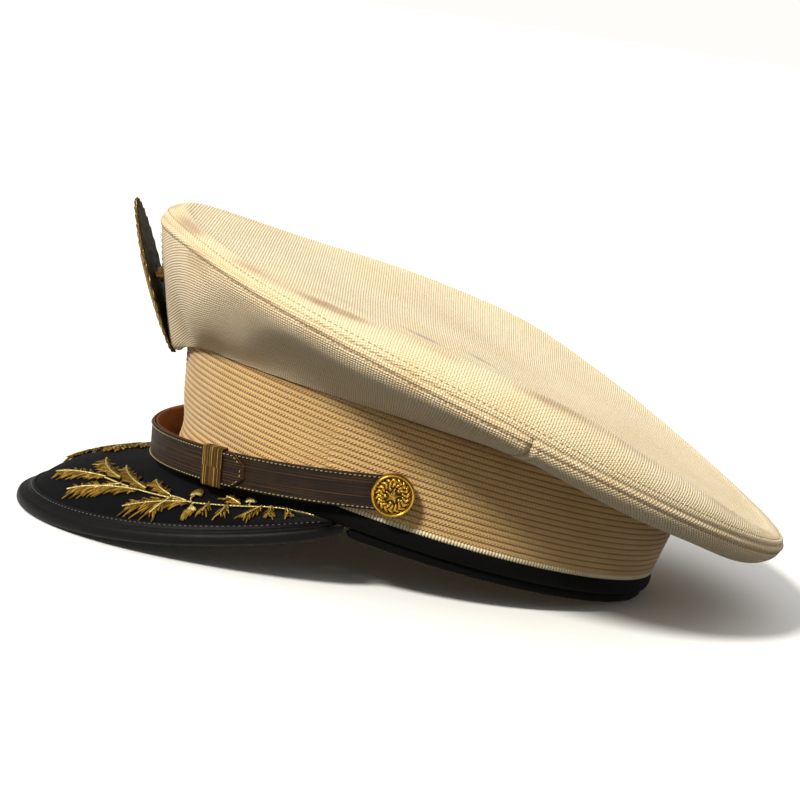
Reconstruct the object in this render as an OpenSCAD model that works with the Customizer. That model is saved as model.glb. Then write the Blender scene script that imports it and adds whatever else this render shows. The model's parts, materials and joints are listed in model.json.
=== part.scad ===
// Military peaked cap: a stiff band with a ribbed braid, a tilted crown on a wire hoop,
// an embroidered visor with a bound rim, and a chin strap that swings on two side buttons.
//
// Everything is laid out in the head frame: the lower edge of the band is the plane z = 0,
// the front is -Y and the wearer's left is +X. rest_pose() then sets the whole cap down on
// the visor's rim and the back of the band, as it stands on a table.

/* [Head opening] */
// Length of the band outside, front to back, at its lower edge
band_len = 202; // [190:0.5:225]
// Width of the band outside at its lower edge
band_wid = 164; // [150:0.5:182]
// Height of the band from its lower edge to the joint with the crown
band_high = 45; // [36:0.5:54]
// Extra height of the band at the sides
side_rise = 7; // [0:0.5:8]
// Outward lean of the band's wall at the sides
band_flare = 6; // [0:0.5:9]
// Outward lean of the band's wall at the front
band_flare_front = 14; // [6:0.5:15]
// Outward lean of the band's wall at the back
band_flare_back = 7.5; // [2:0.5:10]

/* [Band layers] */
// Thickness of the ribbed braid
braid_thick = 1.2; // [0.8:0.1:2]
// Thickness of the stiff band behind the braid
core_thick = 1; // [0.6:0.1:1.6]
// Thickness of the cloth that lines the band
band_lining_thick = 0.6; // [0.4:0.1:1]
// Thickness of the leather sweatband
sweatband_thick = 1; // [0.7:0.1:1.5]
// Height of the leather sweatband
sweatband_high = 38; // [28:1:42]
// Pocket between the band's lining and the sweatband, for the stay and the button nuts
pocket = 2; // [1.9:0.1:3]
// Half height of the upper black roll of the welt
welt_upper_half = 3.1; // [2:0.1:4]
// Half height of the lower black roll of the welt
welt_lower_half = 2.1; // [1.5:0.1:3]
// Half thickness of the two rolls
welt_half_thick = 1.15; // [0.8:0.05:1.25]
// Radius of the pale cord above the welt
edge_cord_r = 1.05; // [0.7:0.05:1.3]
// Radius of the reed at the sweatband's lower edge
reed_r = 0.8; // [0.5:0.05:0.9]

/* [Crown] */
// Half width of the crown at its seam
crown_half_wid = 131; // [120:0.5:142]
// Half length of the crown at its seam
crown_half_len = 142.7; // [132:0.5:154]
// How far the crown's middle lies behind the band's middle
crown_back = 10.5; // [0:0.5:20]
// Mean height of the crown's seam
seam_level = 66.3; // [59:0.1:75]
// Half the drop of the seam from the front to the back
seam_slope = 23.9; // [14:0.1:28]
// How much the seam sags at the front and back against the sides
seam_saddle = 2.6; // [0:0.1:4]
// Mean height of the crown's ridge
ridge_level = 74.5; // [70:0.1:84]
// Half the drop of the ridge from the front to the back
ridge_slope = 22.8; // [14:0.1:26]
// How much the ridge sags at the front and back against the sides
ridge_saddle = 6.9; // [2:0.1:9]
// Angle of the side seams from the front
side_seam = 97; // [84:0.5:104]
// Thickness of the crown's cloth
cloth_thick = 0.8; // [0.5:0.1:1.1]
// Radius of the hoop that spreads the crown
hoop_r = 1.5; // [1:0.1:1.8]
// Thickness of the front stay
stay_thick = 0.6; // [0.4:0.1:0.8]
// Half angle that the front stay covers
stay_half_angle = 19; // [12:1:24]
// Thickness of the crown's lining
lining_thick = 0.5; // [0.3:0.1:0.8]

/* [Visor] */
// Half width of the visor between the middles of its rim
visor_half_wid = 87; // [82:0.5:94]
// Distance from the visor's corners forward to its tip
visor_len = 129; // [118:0.5:142]
// How far its corners lie in front of the band's middle
visor_corner = 24; // [16:0.5:30]
// Depth of the rim's middle below the band's lower edge at the tip
visor_drop = 40.5; // [30:0.5:46]
// Depth of the visor's seam below the band's lower edge at the front
visor_seam_drop = 6; // [4:0.5:8]
// Height of the visor's dome
visor_dome = 6; // [0:0.5:8]
// Thickness of the visor's board
board_thick = 1.6; // [1.2:0.1:2]
// Thickness of the cloth above and of the leather below it
facing_thick = 0.7; // [0.4:0.1:0.9]
// Radius of the rolled leather rim
rim_r = 2.9; // [2.4:0.1:3.4]
// Thickness of the bullion embroidery
bullion_thick = 1; // [0.6:0.1:1.4]

/* [Chin strap] */
// Width of the strap
strap_wid = 14; // [12:0.5:16]
// Thickness of each half of the strap
strap_thick = 1.1; // [0.8:0.1:1.3]
// Slope of the strap down towards the visor
strap_slope = 13.5; // [13:0.5:14]
// Distance from the strap's pivot forward to its front
strap_reach = 101; // [100.5:0.1:104]
// Radius of the strap's front bend
strap_front_r = 70; // [66:1:74]
// Clear gap between the strap and the band at the button
strap_gap = 1; // [0.9:0.1:1.5]
// Width of each keeper
keeper_wid = 11; // [8:0.5:13]
// Wall of each keeper
keeper_wall = 0.7; // [0.5:0.1:0.9]
// Place of each keeper along the side bend of the strap, in degrees
keeper_angle = 42; // [38:0.5:43]
// Place of each half's pointed end along the side bend, in degrees
tip_angle = 33.5; // [30:0.5:34]

/* [Buttons] */
// Radius of the side buttons
button_r = 8.5; // [7.5:0.1:9.5]
// Height of the button's dome
button_dome = 3.6; // [2.5:0.1:5]
// Radius of the post that the strap turns on
post_r = 1.5; // [1.2:0.1:1.8]
// Radial running clearance of the strap on its posts
post_play = 0.05; // [0.02:0.01:0.09]
// Place of the buttons in front of the band's middle
button_forward = 11.6; // [8:0.2:14]
// Height of the buttons above the band's lower edge
button_high = 22.8; // [22:0.2:23.6]
// Radius of the nut inside the band
nut_r = 2.6; // [2.2:0.1:2.8]

/* [Badge] */
// Height of the badge
badge_high = 66; // [52:1:68]
// Width of the badge
badge_wid = 46; // [38:1:54]
// Thickness of the badge's plate
badge_thick = 1.2; // [0.8:0.1:1.6]
// Lean of the badge forward from upright
badge_lean = 31; // [28:0.5:34]
// Height of the badge's middle above the band's lower edge
badge_mid_z = 63; // [60:0.5:66]
// Distance of the badge's middle in front of the band's middle
badge_mid_y = 127.4; // [127:0.1:129]
// Number of rays round the badge
ray_count = 32; // [20:2:40]

/* [Hidden] */

// Gap between two layers of cloth or leather that lie on each other
lay = 0.1;
// How far the band's own middle lies behind the frame's origin
band_back = 4;
// Depths of the band's layers inside its outer face
core_out = braid_thick + lay;
core_in = core_out + core_thick;
band_lining_out = core_in + lay;
band_lining_in = band_lining_out + band_lining_thick;
sweatband_out = band_lining_in + pocket;
sweatband_in = sweatband_out + sweatband_thick;
// Heights of the rolls, the cord and the braid's lower edge along the back of the band
welt_lower_z = welt_lower_half - 0.6;
welt_upper_z = welt_lower_z + welt_lower_half + lay + welt_upper_half;
edge_cord_z = welt_upper_z + welt_upper_half + lay + edge_cord_r;
braid_back_z = edge_cord_z + edge_cord_r + lay;
core_foot = welt_lower_z + welt_lower_half + 3 * lay;
reed_z = 1.4;
// Clear gap round pieces that only pass each other
clear = 0.35;
// Height of the visor's layers above and below its middle
visor_top = board_thick / 2 + lay + facing_thick;
// Angle from the front at which the visor's corners meet the band
corner_angle = acos((visor_corner + band_back) / (band_len / 2));
// Numbers of steps round the band and the crown
around = 60;
around_crown = 56;

// ---------- shapes shared by the sub-parts ----------

function lerp(a, b, u) = a + (b - a) * u;
function unit(v) = v / norm(v);
// Smooth step from 0 at a to 1 at b
function ease(a, b, x) = let (u = min(max((x - a) / (b - a), 0), 1)) u * u * (3 - 2 * u);
function steps(a, b, n) = [for (i = [0 : n]) lerp(a, b, i / n)];
function cubic(p, u) = pow(1 - u, 3) * p[0] + 3 * u * pow(1 - u, 2) * p[1]
    + 3 * u * u * (1 - u) * p[2] + pow(u, 3) * p[3];

// Outward normal of a grid of points at row i and column j; a closed grid joins its last row to its first
function grid_normal(g, i, j, closed) =
    let (m = len(g), n = len(g[0]),
        next = closed ? (i + 1) % m : min(i + 1, m - 1),
        last = closed ? (i + m - 1) % m : max(i - 1, 0))
    unit(cross(g[next][j] - g[last][j], g[i][min(j + 1, n - 1)] - g[i][max(j - 1, 0)]));
function raised(g, d, closed) =
    [for (i = [0 : len(g) - 1]) [for (j = [0 : len(g[0]) - 1]) g[i][j] + d * grid_normal(g, i, j, closed)]];
function quad(a, b, c, d) = [[a, b, c], [a, c, d]];

// A sheet of material between the heights d0 and d1 above a grid of points.
// peak, if given, closes the last column at one point, as at the middle of the crown.
module sheet(g, d0, d1, closed = false, peak = []) {
    m = len(g);
    n = len(g[0]);
    last_row = closed ? m - 1 : m - 2;
    lower = raised(g, d0, closed);
    upper = raised(g, d1, closed);
    tips = len(peak) == 0 ? [] : [peak + [0, 0, d0], peak + [0, 0, d1]];
    points = concat([for (row = lower) each row], [for (row = upper) each row], tips);
    function at(layer, i, j) = layer * m * n + (i % m) * n + j;
    skins = [for (i = [0 : last_row], j = [0 : n - 2]) each concat(
        quad(at(1, i, j), at(1, i, j + 1), at(1, i + 1, j + 1), at(1, i + 1, j)),
        quad(at(0, i, j), at(0, i + 1, j), at(0, i + 1, j + 1), at(0, i, j + 1)))];
    foot = [for (i = [0 : last_row]) each quad(at(0, i, 0), at(1, i, 0), at(1, i + 1, 0), at(0, i + 1, 0))];
    head = [for (i = [0 : last_row]) each len(peak) == 0
        ? quad(at(0, i, n - 1), at(0, i + 1, n - 1), at(1, i + 1, n - 1), at(1, i, n - 1))
        : [[at(1, i, n - 1), 2 * m * n + 1, at(1, i + 1, n - 1)],
            [at(0, i, n - 1), at(0, i + 1, n - 1), 2 * m * n]]];
    ends = closed ? [] : [for (j = [0 : n - 2]) each concat(
        quad(at(0, 0, j), at(0, 0, j + 1), at(1, 0, j + 1), at(1, 0, j)),
        quad(at(0, m - 1, j), at(1, m - 1, j), at(1, m - 1, j + 1), at(0, m - 1, j + 1)))];
    polyhedron(points, concat(skins, foot, head, ends), convexity = 8);
}

// A roll of elliptical section along a path; out gives the sideways and up directions at each point
module roll(path, out, half_out, half_up, sides, closed) {
    m = len(path);
    last_row = closed ? m - 1 : m - 2;
    points = [for (i = [0 : m - 1], k = [0 : sides - 1])
        path[i] + half_out * cos(360 * k / sides) * out[i][0] + half_up * sin(360 * k / sides) * out[i][1]];
    function at(i, k) = (i % m) * sides + k % sides;
    skin = [for (i = [0 : last_row], k = [0 : sides - 1])
        each quad(at(i, k), at(i, k + 1), at(i + 1, k + 1), at(i + 1, k))];
    caps = closed ? [] : [[for (k = [sides - 1 : -1 : 0]) at(0, k)],
        [for (k = [0 : sides - 1]) at(m - 1, k)]];
    polyhedron(points, concat(skin, caps), convexity = 8);
}

// ---------- the band ----------

// A point of the band's wall at angle t from the front, height z and distance d outside its face
function band_point(t, z, d) =
    let (lean = lerp(band_flare_back, band_flare_front, (1 + cos(t)) / 2))
    [(band_wid / 2 + z * tan(band_flare) + d) * sin(t),
        band_back - (band_len / 2 + z * tan(lean) + d) * cos(t), z];
function band_grid(z0, z1, d) =
    [for (i = [0 : around - 1]) [for (z = [z0, z1]) band_point(360 * i / around, z, d)]];
// Height of the band's upper edge, which rises at the sides
function band_top(t) = band_high + side_rise * pow(sin(t), 2);
// The wall from height z0 to a little below the band's upper edge
function wall_grid(z0) =
    [for (i = [0 : around - 1]) let (t = 360 * i / around) [for (z = [z0,
        band_top(t) - 0.6]) band_point(t, z, 0)]];

// Lean of the wall, and the level and upright directions, at angle t
function wall_lean(t) = band_flare * pow(sin(t), 2)
    + lerp(band_flare_back, band_flare_front, (1 + cos(t)) / 2) * pow(cos(t), 2);
function band_out(t) = [unit([sin(t) * band_len, -cos(t) * band_wid, 0]), [0, 0, 1]];

// Height of the visor's seam at angle t from the front
function seam_z(t) =
    let (s = min(abs(t) / corner_angle, 1))
    -visor_seam_drop + (visor_seam_drop + rim_r) * pow(1 - cos(90 * s), 1.2);
// Height of the visor's upper face where the band stands on it
function visor_step(t) = seam_z(t) + visor_top + clear;
// The upper roll thins out over the visor, in front of its corners
function welt_half(t) = welt_upper_half * ease(corner_angle - 20, corner_angle - 4, abs(t));
function welt_mid(t) = min(visor_step(t) + lay + welt_half(t), welt_upper_z);
// Lower edge of the braid: above the upper roll in front, above the pale cord behind
cord_start = corner_angle - 5;
function braid_foot(t) =
    lerp(visor_step(t) + 2 * lay + 2 * welt_half(t), braid_back_z, ease(cord_start - 4, cord_start, abs(t)));
function signed(a) = a > 180 ? a - 360 : a;

module button_holes(r) {
    translate([0, -button_forward, button_high])
        rotate([0, 90, 0])
            cylinder(r = r, h = 2 * band_wid, center = true, $fn = 32);
}

module band_braid() {
    color("tan") rest_pose() difference() {
        sheet([for (i = [0 : 2 * around - 1]) let (t = signed(180 * i / around))
            [for (z = [braid_foot(t), band_top(t)]) band_point(t, z, 0)]], -braid_thick, 0, closed = true);
        button_holes(post_r + clear);
    }
}

module band_core() {
    color("peru") rest_pose() difference() {
        sheet(wall_grid(core_foot), -core_in, -core_out, closed = true);
        button_holes(post_r + clear);
    }
}

module band_lining() {
    color("khaki") rest_pose() difference() {
        sheet(wall_grid(core_foot), -band_lining_in, -band_lining_out, closed = true);
        button_holes(post_r + clear);
    }
}

module sweatband() {
    color("saddlebrown") rest_pose()
        sheet(band_grid(reed_z + reed_r + lay, reed_z + reed_r + lay + sweatband_high, 0),
            -sweatband_in, -sweatband_out, closed = true);
}

// A roll that follows the band at height z, its middle d outside the face, between two angles
module band_roll(t0, t1, z, d, half_thick, half_high, count) {
    angles = steps(t0, t1, count);
    roll([for (t = angles) band_point(t, z, d)],
        [for (t = angles) band_out(t)], half_thick, half_high, 8, false);
}

module edge_cord() {
    color("wheat") rest_pose()
        band_roll(cord_start, 360 - cord_start, edge_cord_z, -edge_cord_r * 0.4, edge_cord_r * 0.7,
            edge_cord_r, 44);
}

module welt_upper() {
    angles = steps(corner_angle - 18, 378 - corner_angle, 64);
    color("black") rest_pose()
        roll([for (t = angles) band_point(t, welt_mid(signed(t)), 0)],
            [for (t = angles) [band_out(t)[0], welt_half(signed(t)) * band_out(t)[1]]], welt_half_thick,
                1, 8, false);
}

module welt_lower() {
    color([0.1, 0.1, 0.1]) rest_pose()
        band_roll(corner_angle, 360 - corner_angle, welt_lower_z, -welt_half_thick - 0.45,
            welt_half_thick, welt_lower_half, 42);
}

module sweatband_reed() {
    depth = (sweatband_out + sweatband_in) / 2;
    angles = [for (i = [0 : around - 1]) 360 * i / around];
    color("ivory") rest_pose()
        roll([for (t = angles) band_point(t, reed_z, -depth) + [0, 0, depth * tan(wall_lean(t))]],
            [for (t = angles) band_out(t)], reed_r, reed_r, 6, true);
}

// A small flat bow at the back of the sweatband
module sweatband_bow() {
    knot = band_point(180, reed_z + 12, -sweatband_in - 1.5);
    color("darkkhaki") rest_pose() translate(knot) rotate([90 - band_flare_back, 0, 0]) {
        cylinder(r = 1.8, h = 1.6, center = true, $fn = 24);
        for (side = [-1, 1])
            hull() {
                translate([side * 2.2, 0, 0])
                    cylinder(r = 0.9, h = 1.2, center = true, $fn = 20);
                translate([side * 7, 1.2, 0])
                    cylinder(r = 2.4, h = 1.2, center = true, $fn = 20);
            }
    }
}

// ---------- the crown ----------

function seam_height(t) = seam_level + seam_slope * cos(t) - seam_saddle * cos(2 * t) - 0.4 * cos(3 * t);
// Heights of the ridge's ring, continued inward as a taut skin; q is 1 at the ridge and 0 in the middle
function skin_height(t, q) = ridge_level + ridge_slope * q * cos(t) - ridge_saddle * pow(q, 2) * cos(2 * t)
    + 2.7 * pow(q, 3) * cos(3 * t) + 1.1 * pow(q, 4) * cos(4 * t);
// Width of the rolled edge as a share of the radius: narrow in front and behind, soft at the sides
function edge_share(t) = 0.10 - 0.04 * cos(2 * t);
// Height of the lowest fold of the quarters
function fold_height(t) = 43.8 + 7 * cos(t) - 8.8 * cos(2 * t) - 3.4 * cos(3 * t) + (band_top(t) - 45);
// A point at angle t on the ring that is a share k of the seam's ring, moved inward by d
function ring(t, k, z, d = 0) =
    [(k * crown_half_wid - d) * sin(t), crown_back - (k * crown_half_len - d) * cos(t), z];

// The rolled edge and the taut top, from the seam to near the middle
function top_points(t) =
    let (w = edge_share(t), low = seam_height(t), high = skin_height(t, 1))
    concat([for (a = steps(0, 75, 3)) ring(t, 1 - w * (1 - cos(a)), lerp(low, high, sin(a)))],
        [for (q = [1, 0.72, 0.4]) ring(t, (1 - w) * q, skin_height(t, q))]);

// Control points of the quarters' section, from the band's top to the seam
function quarter_section(t) =
    let (foot = band_point(t, band_top(t) + 0.2, 0.9), head = ring(t, 1, seam_height(t)),
        low = fold_height(t),
        brow = max(cos(t), 0), temple = cos(t) > 0 ? pow(sin(2 * t), 2) * (0.5 + 0.5 * cos(t)) : 0,
        near = 0.29 - 0.1 * cos(t) - 0.18 * cos(2 * t) - 0.13 * pow(brow, 4),
            far = 1.04 - 0.48 * pow(brow, 4))
    [foot,
        [lerp(foot.x, head.x, near), lerp(foot.y, head.y, near),
            low - 5.6 - 4.2 * cos(t) - 3.6 * cos(2 * t) + 14 * temple],
        [lerp(foot.x, head.x, far), lerp(foot.y, head.y, far),
            low + 1.6 + 8.7 * cos(t) + 2.2 * cos(2 * t) + 5 * temple],
        head - [0, 0, 0.8]];

module badge_hole(r) {
    badge_frame()
        cylinder(r = r, h = 40, center = true, $fn = 32);
}

// Half the cut between two quarters, in degrees
cut = 0.04;
module quarter(t0, t1) {
    difference() {
        sheet([for (t = steps(t0 + cut, t1 - cut, 14)) let (p = quarter_section(t))
            [for (u = [0, 0.12, 0.28, 0.46, 0.64, 0.82, 1]) cubic(p, u)]], -cloth_thick, 0);
        badge_hole(eyelet_r + lay);
    }
}

module crown_top() {
    color("cornsilk") rest_pose()
        sheet([for (i = [0 : around_crown - 1]) top_points(360 * i / around_crown)],
            -cloth_thick, 0, closed = true, peak = [0, crown_back, ridge_level]);
}

module quarter_front_left() {
    color("moccasin") rest_pose() quarter(0, side_seam);
}

module quarter_front_right() {
    color("moccasin") rest_pose() quarter(-side_seam, 0);
}

module quarter_rear_left() {
    color("bisque") rest_pose() quarter(side_seam, 180);
}

module quarter_rear_right() {
    color("bisque") rest_pose() quarter(180, 360 - side_seam);
}

// The hoop runs inside the rolled edge
hoop_in = cloth_thick + hoop_r + 1.9;
function hoop_point(t) =
    let (temple = max(cos(t), 0) * pow(sin(2 * t), 2))
    ring(t, 1, seam_height(t) + 0.9 + 1.2 * cos(t) - 1.1 * cos(2 * t) - 2.5 * temple, hoop_in);
function hoop_out(t) = [unit([sin(t) * crown_half_len, -cos(t) * crown_half_wid, 0]), [0, 0, 1]];

module crown_hoop() {
    angles = [for (i = [0 : 55]) 360 * i / 56];
    color("dimgray") rest_pose()
        roll([for (t = angles) hoop_point(t)], [for (t = angles) hoop_out(t)], hoop_r, hoop_r, 6, true);
}

// A short tube over the hoop's joint at the back
module hoop_ferrule() {
    color("silver") rest_pose()
        sheet([for (k = [0 : 11]) [for (t = [180 - 360 / 56, 180, 180 + 360 / 56])
            let (o = hoop_out(t)) hoop_point(t) + (hoop_r + lay) * (cos(30 * k) * o[0] - sin(30 * k) * o[1])]],
            0, 0.4, closed = true);
}

// The stay stands behind the front: its foot is in the band's pocket, its head is under the hoop
stay_depth = band_lining_in + pocket / 2;
function stay_points(t) =
    let (hip = band_point(t, band_top(t) + 0.4, -stay_depth),
        chest = ring(t, 1, band_high + 17, 8.2),
        waist = [lerp(hip.x, chest.x, 0.24), lerp(hip.y, chest.y, 0.24), hip.z + 5.6],
        head = ring(t, 1, seam_height(t) - 5, 4.6))
    concat([band_point(t, 14, -stay_depth)],
        [for (u = steps(0, 1, 5)) cubic([hip, waist, chest, head], u)]);

module front_stay() {
    color("slategray") rest_pose() difference() {
        sheet([for (t = steps(-stay_half_angle, stay_half_angle, 10)) stay_points(t)],
            -stay_thick / 2, stay_thick / 2);
        badge_hole(post_r + clear);
    }
}

// The lining hangs from the top of the band and follows the crown inside the hoop and the stay
lining_in = 10.5;
function lining_section(t) =
    let (foot = band_point(t, band_top(t) + 1.2, -band_lining_in - 1), head = ring(t, 1,
        seam_height(t) - 1, lining_in))
    [foot, lerp(foot, head, 0.33) + [0, 0, 3 * max(-cos(t), 0)], lerp(foot, head, 0.67) + [0, 0,
        2 * max(-cos(t), 0)], head];
function lining_points(t) =
    let (w = edge_share(t), low = seam_height(t) - 1, high = skin_height(t, 1) - 5)
    concat([for (u = [0, 0.2, 0.45, 0.75]) cubic(lining_section(t), u)],
        [for (a = [0, 60]) ring(t, 1 - w * (1 - cos(a)), lerp(low, high, sin(a)), lining_in)],
        [for (q = [0.85, 0.45]) ring(t, (1 - w) * q, skin_height(t, q) - 5)]);

module crown_lining() {
    color("beige") rest_pose()
        sheet([for (i = [0 : around_crown - 1]) lining_points(360 * i / around_crown)],
            -lining_thick, 0, closed = true, peak = [0, crown_back, ridge_level - 5]);
}

// A thin oval of clear film under the middle of the lining
module moisture_shield() {
    low = 5 + lining_thick + lay;
    middle = [0, crown_back, ridge_level - low];
    color([0.85, 0.8, 0.6, 0.5]) rest_pose()
        sheet([for (i = [0 : around_crown - 1])
            let (t = 360 * i / around_crown, edge = ring(t, (1 - edge_share(t)) * 0.45, skin_height(t,
                0.45) - low))
            [edge, lerp(edge, middle, 0.5)]], -0.4, 0, closed = true, peak = middle);
}

// ---------- the visor ----------

// The rim's middle at angle t: 0 at the tip, 90 and -90 at the corners
corner_tuck = visor_half_wid - (band_wid / 2) * sin(corner_angle) - 1.2;
function rim_point(t) =
    let (c = cos(t), side = t < 0 ? -1 : 1)
    [visor_half_wid * sin(t) - side * corner_tuck * exp(-c / 0.1), -visor_corner - visor_len * c,
        rim_r - (visor_drop + rim_r) * (1.255 * c - 0.255 * pow(c, 3))];
function seam_point(t) = let (a = t * corner_angle / 90) band_point(a, seam_z(a), -0.6);
// The visor's middle surface: v is 0 at the rim and 1 at the seam
function visor_point(t, v) =
    lerp(rim_point(t), seam_point(t), v) + [0, -0.3, 1] * visor_dome * cos(t) * pow(sin(180 * pow(v,
        0.65)), 2);
// Columns i0 to i1 and rows k0 to k1 of the visor's grid, of which 0 is the middle column and the rim's row
function visor_grid(i0, i1, k0, k1) =
    [for (i = [i0 : i1]) let (t = i * visor_end / visor_cols,
        inset = rim_inset / norm(rim_point(t) - seam_point(t)))
        [for (k = [k0 : k1]) visor_point(t, lerp(inset, 0.98, k / visor_rows))]];
// The layers stop short of the rim's roll by this much, and of the corners by this angle
rim_inset = rim_r + 0.45;
visor_end = 82;
visor_cols = 16;
visor_rows = 4;

module visor_board() {
    color([0.2, 0.2, 0.2]) rest_pose()
        sheet(visor_grid(-visor_cols, visor_cols, 0, visor_rows), -board_thick / 2, board_thick / 2);
}

module visor_cloth() {
    color([0.05, 0.05, 0.08]) rest_pose()
        sheet(visor_grid(-visor_cols, visor_cols, 0, visor_rows), board_thick / 2 + lay, visor_top);
}

module visor_lining() {
    color("darkolivegreen") rest_pose()
        sheet(visor_grid(-visor_cols, visor_cols, 0, visor_rows), -visor_top, -board_thick / 2 - lay);
}

// The rim's roll thins out at the corners, where it runs into the band
function rim_share(t) = 1 - 0.45 * ease(85, 89.5, abs(t));

module visor_rim() {
    angles = steps(-89.5, 89.5, 50);
    color("black") rest_pose()
        roll([for (t = angles) rim_point(t)],
            [for (t = angles) rim_share(t) * [unit([sin(t) * visor_len, -cos(t) * visor_half_wid, 0]),
                [0, 0, 1]]],
            rim_r, rim_r, 8, false);
}

// The raised bullion sprays lie on the cloth, one on each side of the tip
module bullion(i0, i1) {
    sheet(visor_grid(i0, i1, 1, 3), visor_top + lay, visor_top + lay + bullion_thick);
}

module bullion_left() {
    color("goldenrod") rest_pose() bullion(1, 13);
}

module bullion_right() {
    color("goldenrod") rest_pose() bullion(-13, -1);
}

// ---------- the chin strap ----------

// The strap lies in a plane through the buttons: x across, y forward, z the strap's width.
// Its side bends run into its front bend with one tangent.
button_t = acos((button_forward + band_back) / (band_len / 2));
strap_out = band_point(button_t, button_high + strap_wid / 2, 0).x + strap_gap + 2 * strap_thick + lay;
side_r = (pow(strap_out, 2) + pow(strap_reach - strap_front_r, 2) - pow(strap_front_r, 2))
    / (2 * (strap_out - strap_front_r));
side_centre = strap_out - side_r;
front_centre = strap_reach - strap_front_r;
bend_angle = atan2(front_centre, -side_centre);
// Radii of the two halves, as depths inside the outer face of the strap
outer_half = [strap_thick, 0];
inner_half = [2 * strap_thick + lay, strap_thick + lay];
// How far each half reaches behind its post, in degrees
strap_tail = 2.4;

module strap_frame() {
    translate([0, -button_forward, button_high])
        rotate([strap_slope, 0, 0])
            rotate([0, 0, 180])
                children();
}

// A point of the strap's path at distance d inside its outer face; a runs from 0 at the post at +x
// to 180 at the other post
function strap_point(a, d) =
    a <= bend_angle ? [side_centre + (side_r - d) * cos(a), (side_r - d) * sin(a)]
    : a <= 180 - bend_angle ? [(strap_front_r - d) * cos(a), front_centre + (strap_front_r - d) * sin(a)]
    : [-side_centre + (side_r - d) * cos(a), (side_r - d) * sin(a)];
function strap_run(a0, a1, d) = [for (a = steps(a0, a1, ceil(abs(a1 - a0) / 2.5))) strap_point(a, d)];

// One half of the strap, from its post at +x round the front to its pointed end
module strap_half(depth) {
    difference() {
        linear_extrude(strap_wid, center = true)
            polygon(concat(strap_run(-strap_tail, 180 - tip_angle, depth[1]), strap_run(180 - tip_angle,
                -strap_tail, depth[0])));
        translate([-side_centre, 0, 0])
            rotate([0, 0, 180 - tip_angle])
                for (side = [-1, 1])
                    translate([side_r - 5, 0, side * strap_wid / 2])
                        rotate([0, 90, 0])
                            linear_extrude(10)
                                polygon([[0, 1], [0, -strap_wid * 0.4], [side * strap_wid * 0.36, 1]]);
        translate([strap_out, 0, 0])
            rotate([0, 90, 0])
                cylinder(r = post_r + post_play, h = 8, center = true, $fn = 32);
    }
}

// The left half is the inner layer and the right half the outer one
module strap_left() {
    color("saddlebrown") rest_pose() strap_frame()
        mirror([1, 0, 0])
            strap_half(inner_half);
}

module strap_right() {
    color([0.25, 0.18, 0.1]) rest_pose() strap_frame()
        strap_half(outer_half);
}

// A piece of a ring about the centre of the side bend
module side_arc(depth, high, a0, a1) {
    translate([side_centre, 0, 0])
        rotate([0, 0, a0])
            rotate_extrude(angle = a1 - a0, $fn = 180)
                translate([side_r - depth[0], -high / 2])
                    square([depth[0] - depth[1], high]);
}

// A flat loop round both halves
module keeper() {
    half = keeper_wid / 2 / side_r * 180 / PI;
    hole = [2 * strap_thick + lay + clear, -clear];
    wall = [hole[0] + keeper_wall, hole[1] - keeper_wall];
    difference() {
        side_arc(wall, strap_wid + 2 * (clear + keeper_wall), keeper_angle - half, keeper_angle + half);
        side_arc(hole, strap_wid + 2 * clear, keeper_angle - half - 1, keeper_angle + half + 1);
    }
}

module keeper_left() {
    color("darkgoldenrod") rest_pose() strap_frame()
        mirror([1, 0, 0])
            keeper();
}

module keeper_right() {
    color("darkgoldenrod") rest_pose() strap_frame()
        keeper();
}

// ---------- the buttons ----------

button_back = strap_out + clear;
nut_x = band_point(button_t, button_high, -band_lining_in - 0.45).x - 0.52;

module button() {
    translate([0, -button_forward, button_high])
        rotate([0, 90, 0])
            rotate_extrude($fn = 64)
                polygon(concat(
                    [[0, nut_x - 0.3], [post_r, nut_x - 0.3], [post_r, button_back], [button_r - 0.8,
                        button_back],
                        [button_r, button_back + 0.6], [button_r, button_back + 1.1]],
                    [for (a = [15 : 15 : 75]) [(button_r - 1.2) * cos(a),
                        button_back + 1 + (button_dome - 1) * sin(a)]],
                    [[0, button_back + button_dome]]));
}

module button_left() {
    color("gold") rest_pose() button();
}

module button_right() {
    color("gold") rest_pose() mirror([1, 0, 0]) button();
}

module button_nuts() {
    color("darkgoldenrod") rest_pose()
        for (side = [-1, 1])
            translate([side * nut_x, -button_forward, button_high])
                rotate([0, 90, 0])
                    difference() {
                        cylinder(r = nut_r, h = 0.6, center = true, $fn = 48);
                        cylinder(r = post_r + 0.01, h = 2, center = true, $fn = 32);
                    }
}

// ---------- the badge ----------

eyelet_r = 3.1;
badge_nut_z = -8.7;
// The badge's own frame: its face looks along +Z, its top is +Y
module badge_frame() {
    translate([0, -badge_mid_y, badge_mid_z])
        rotate([90 + badge_lean, 0, 0])
            children();
}

// An oval outline whose edge is cut into rays
function ray_outline(k) = [for (i = [0 : 2 * ray_count - 1])
    let (a = 180 * i / ray_count, r = k * (i % 2 == 0 ? 1 : 0.92))
    [badge_wid / 2 * r * sin(a), badge_high / 2 * r * cos(a)]];

module badge_plate() {
    color("darkgoldenrod") rest_pose() badge_frame()
        difference() {
            linear_extrude(badge_thick)
                polygon(ray_outline(1));
            translate([0, 0, -1])
                cylinder(r = post_r, h = 4, $fn = 32);
        }
}

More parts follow.
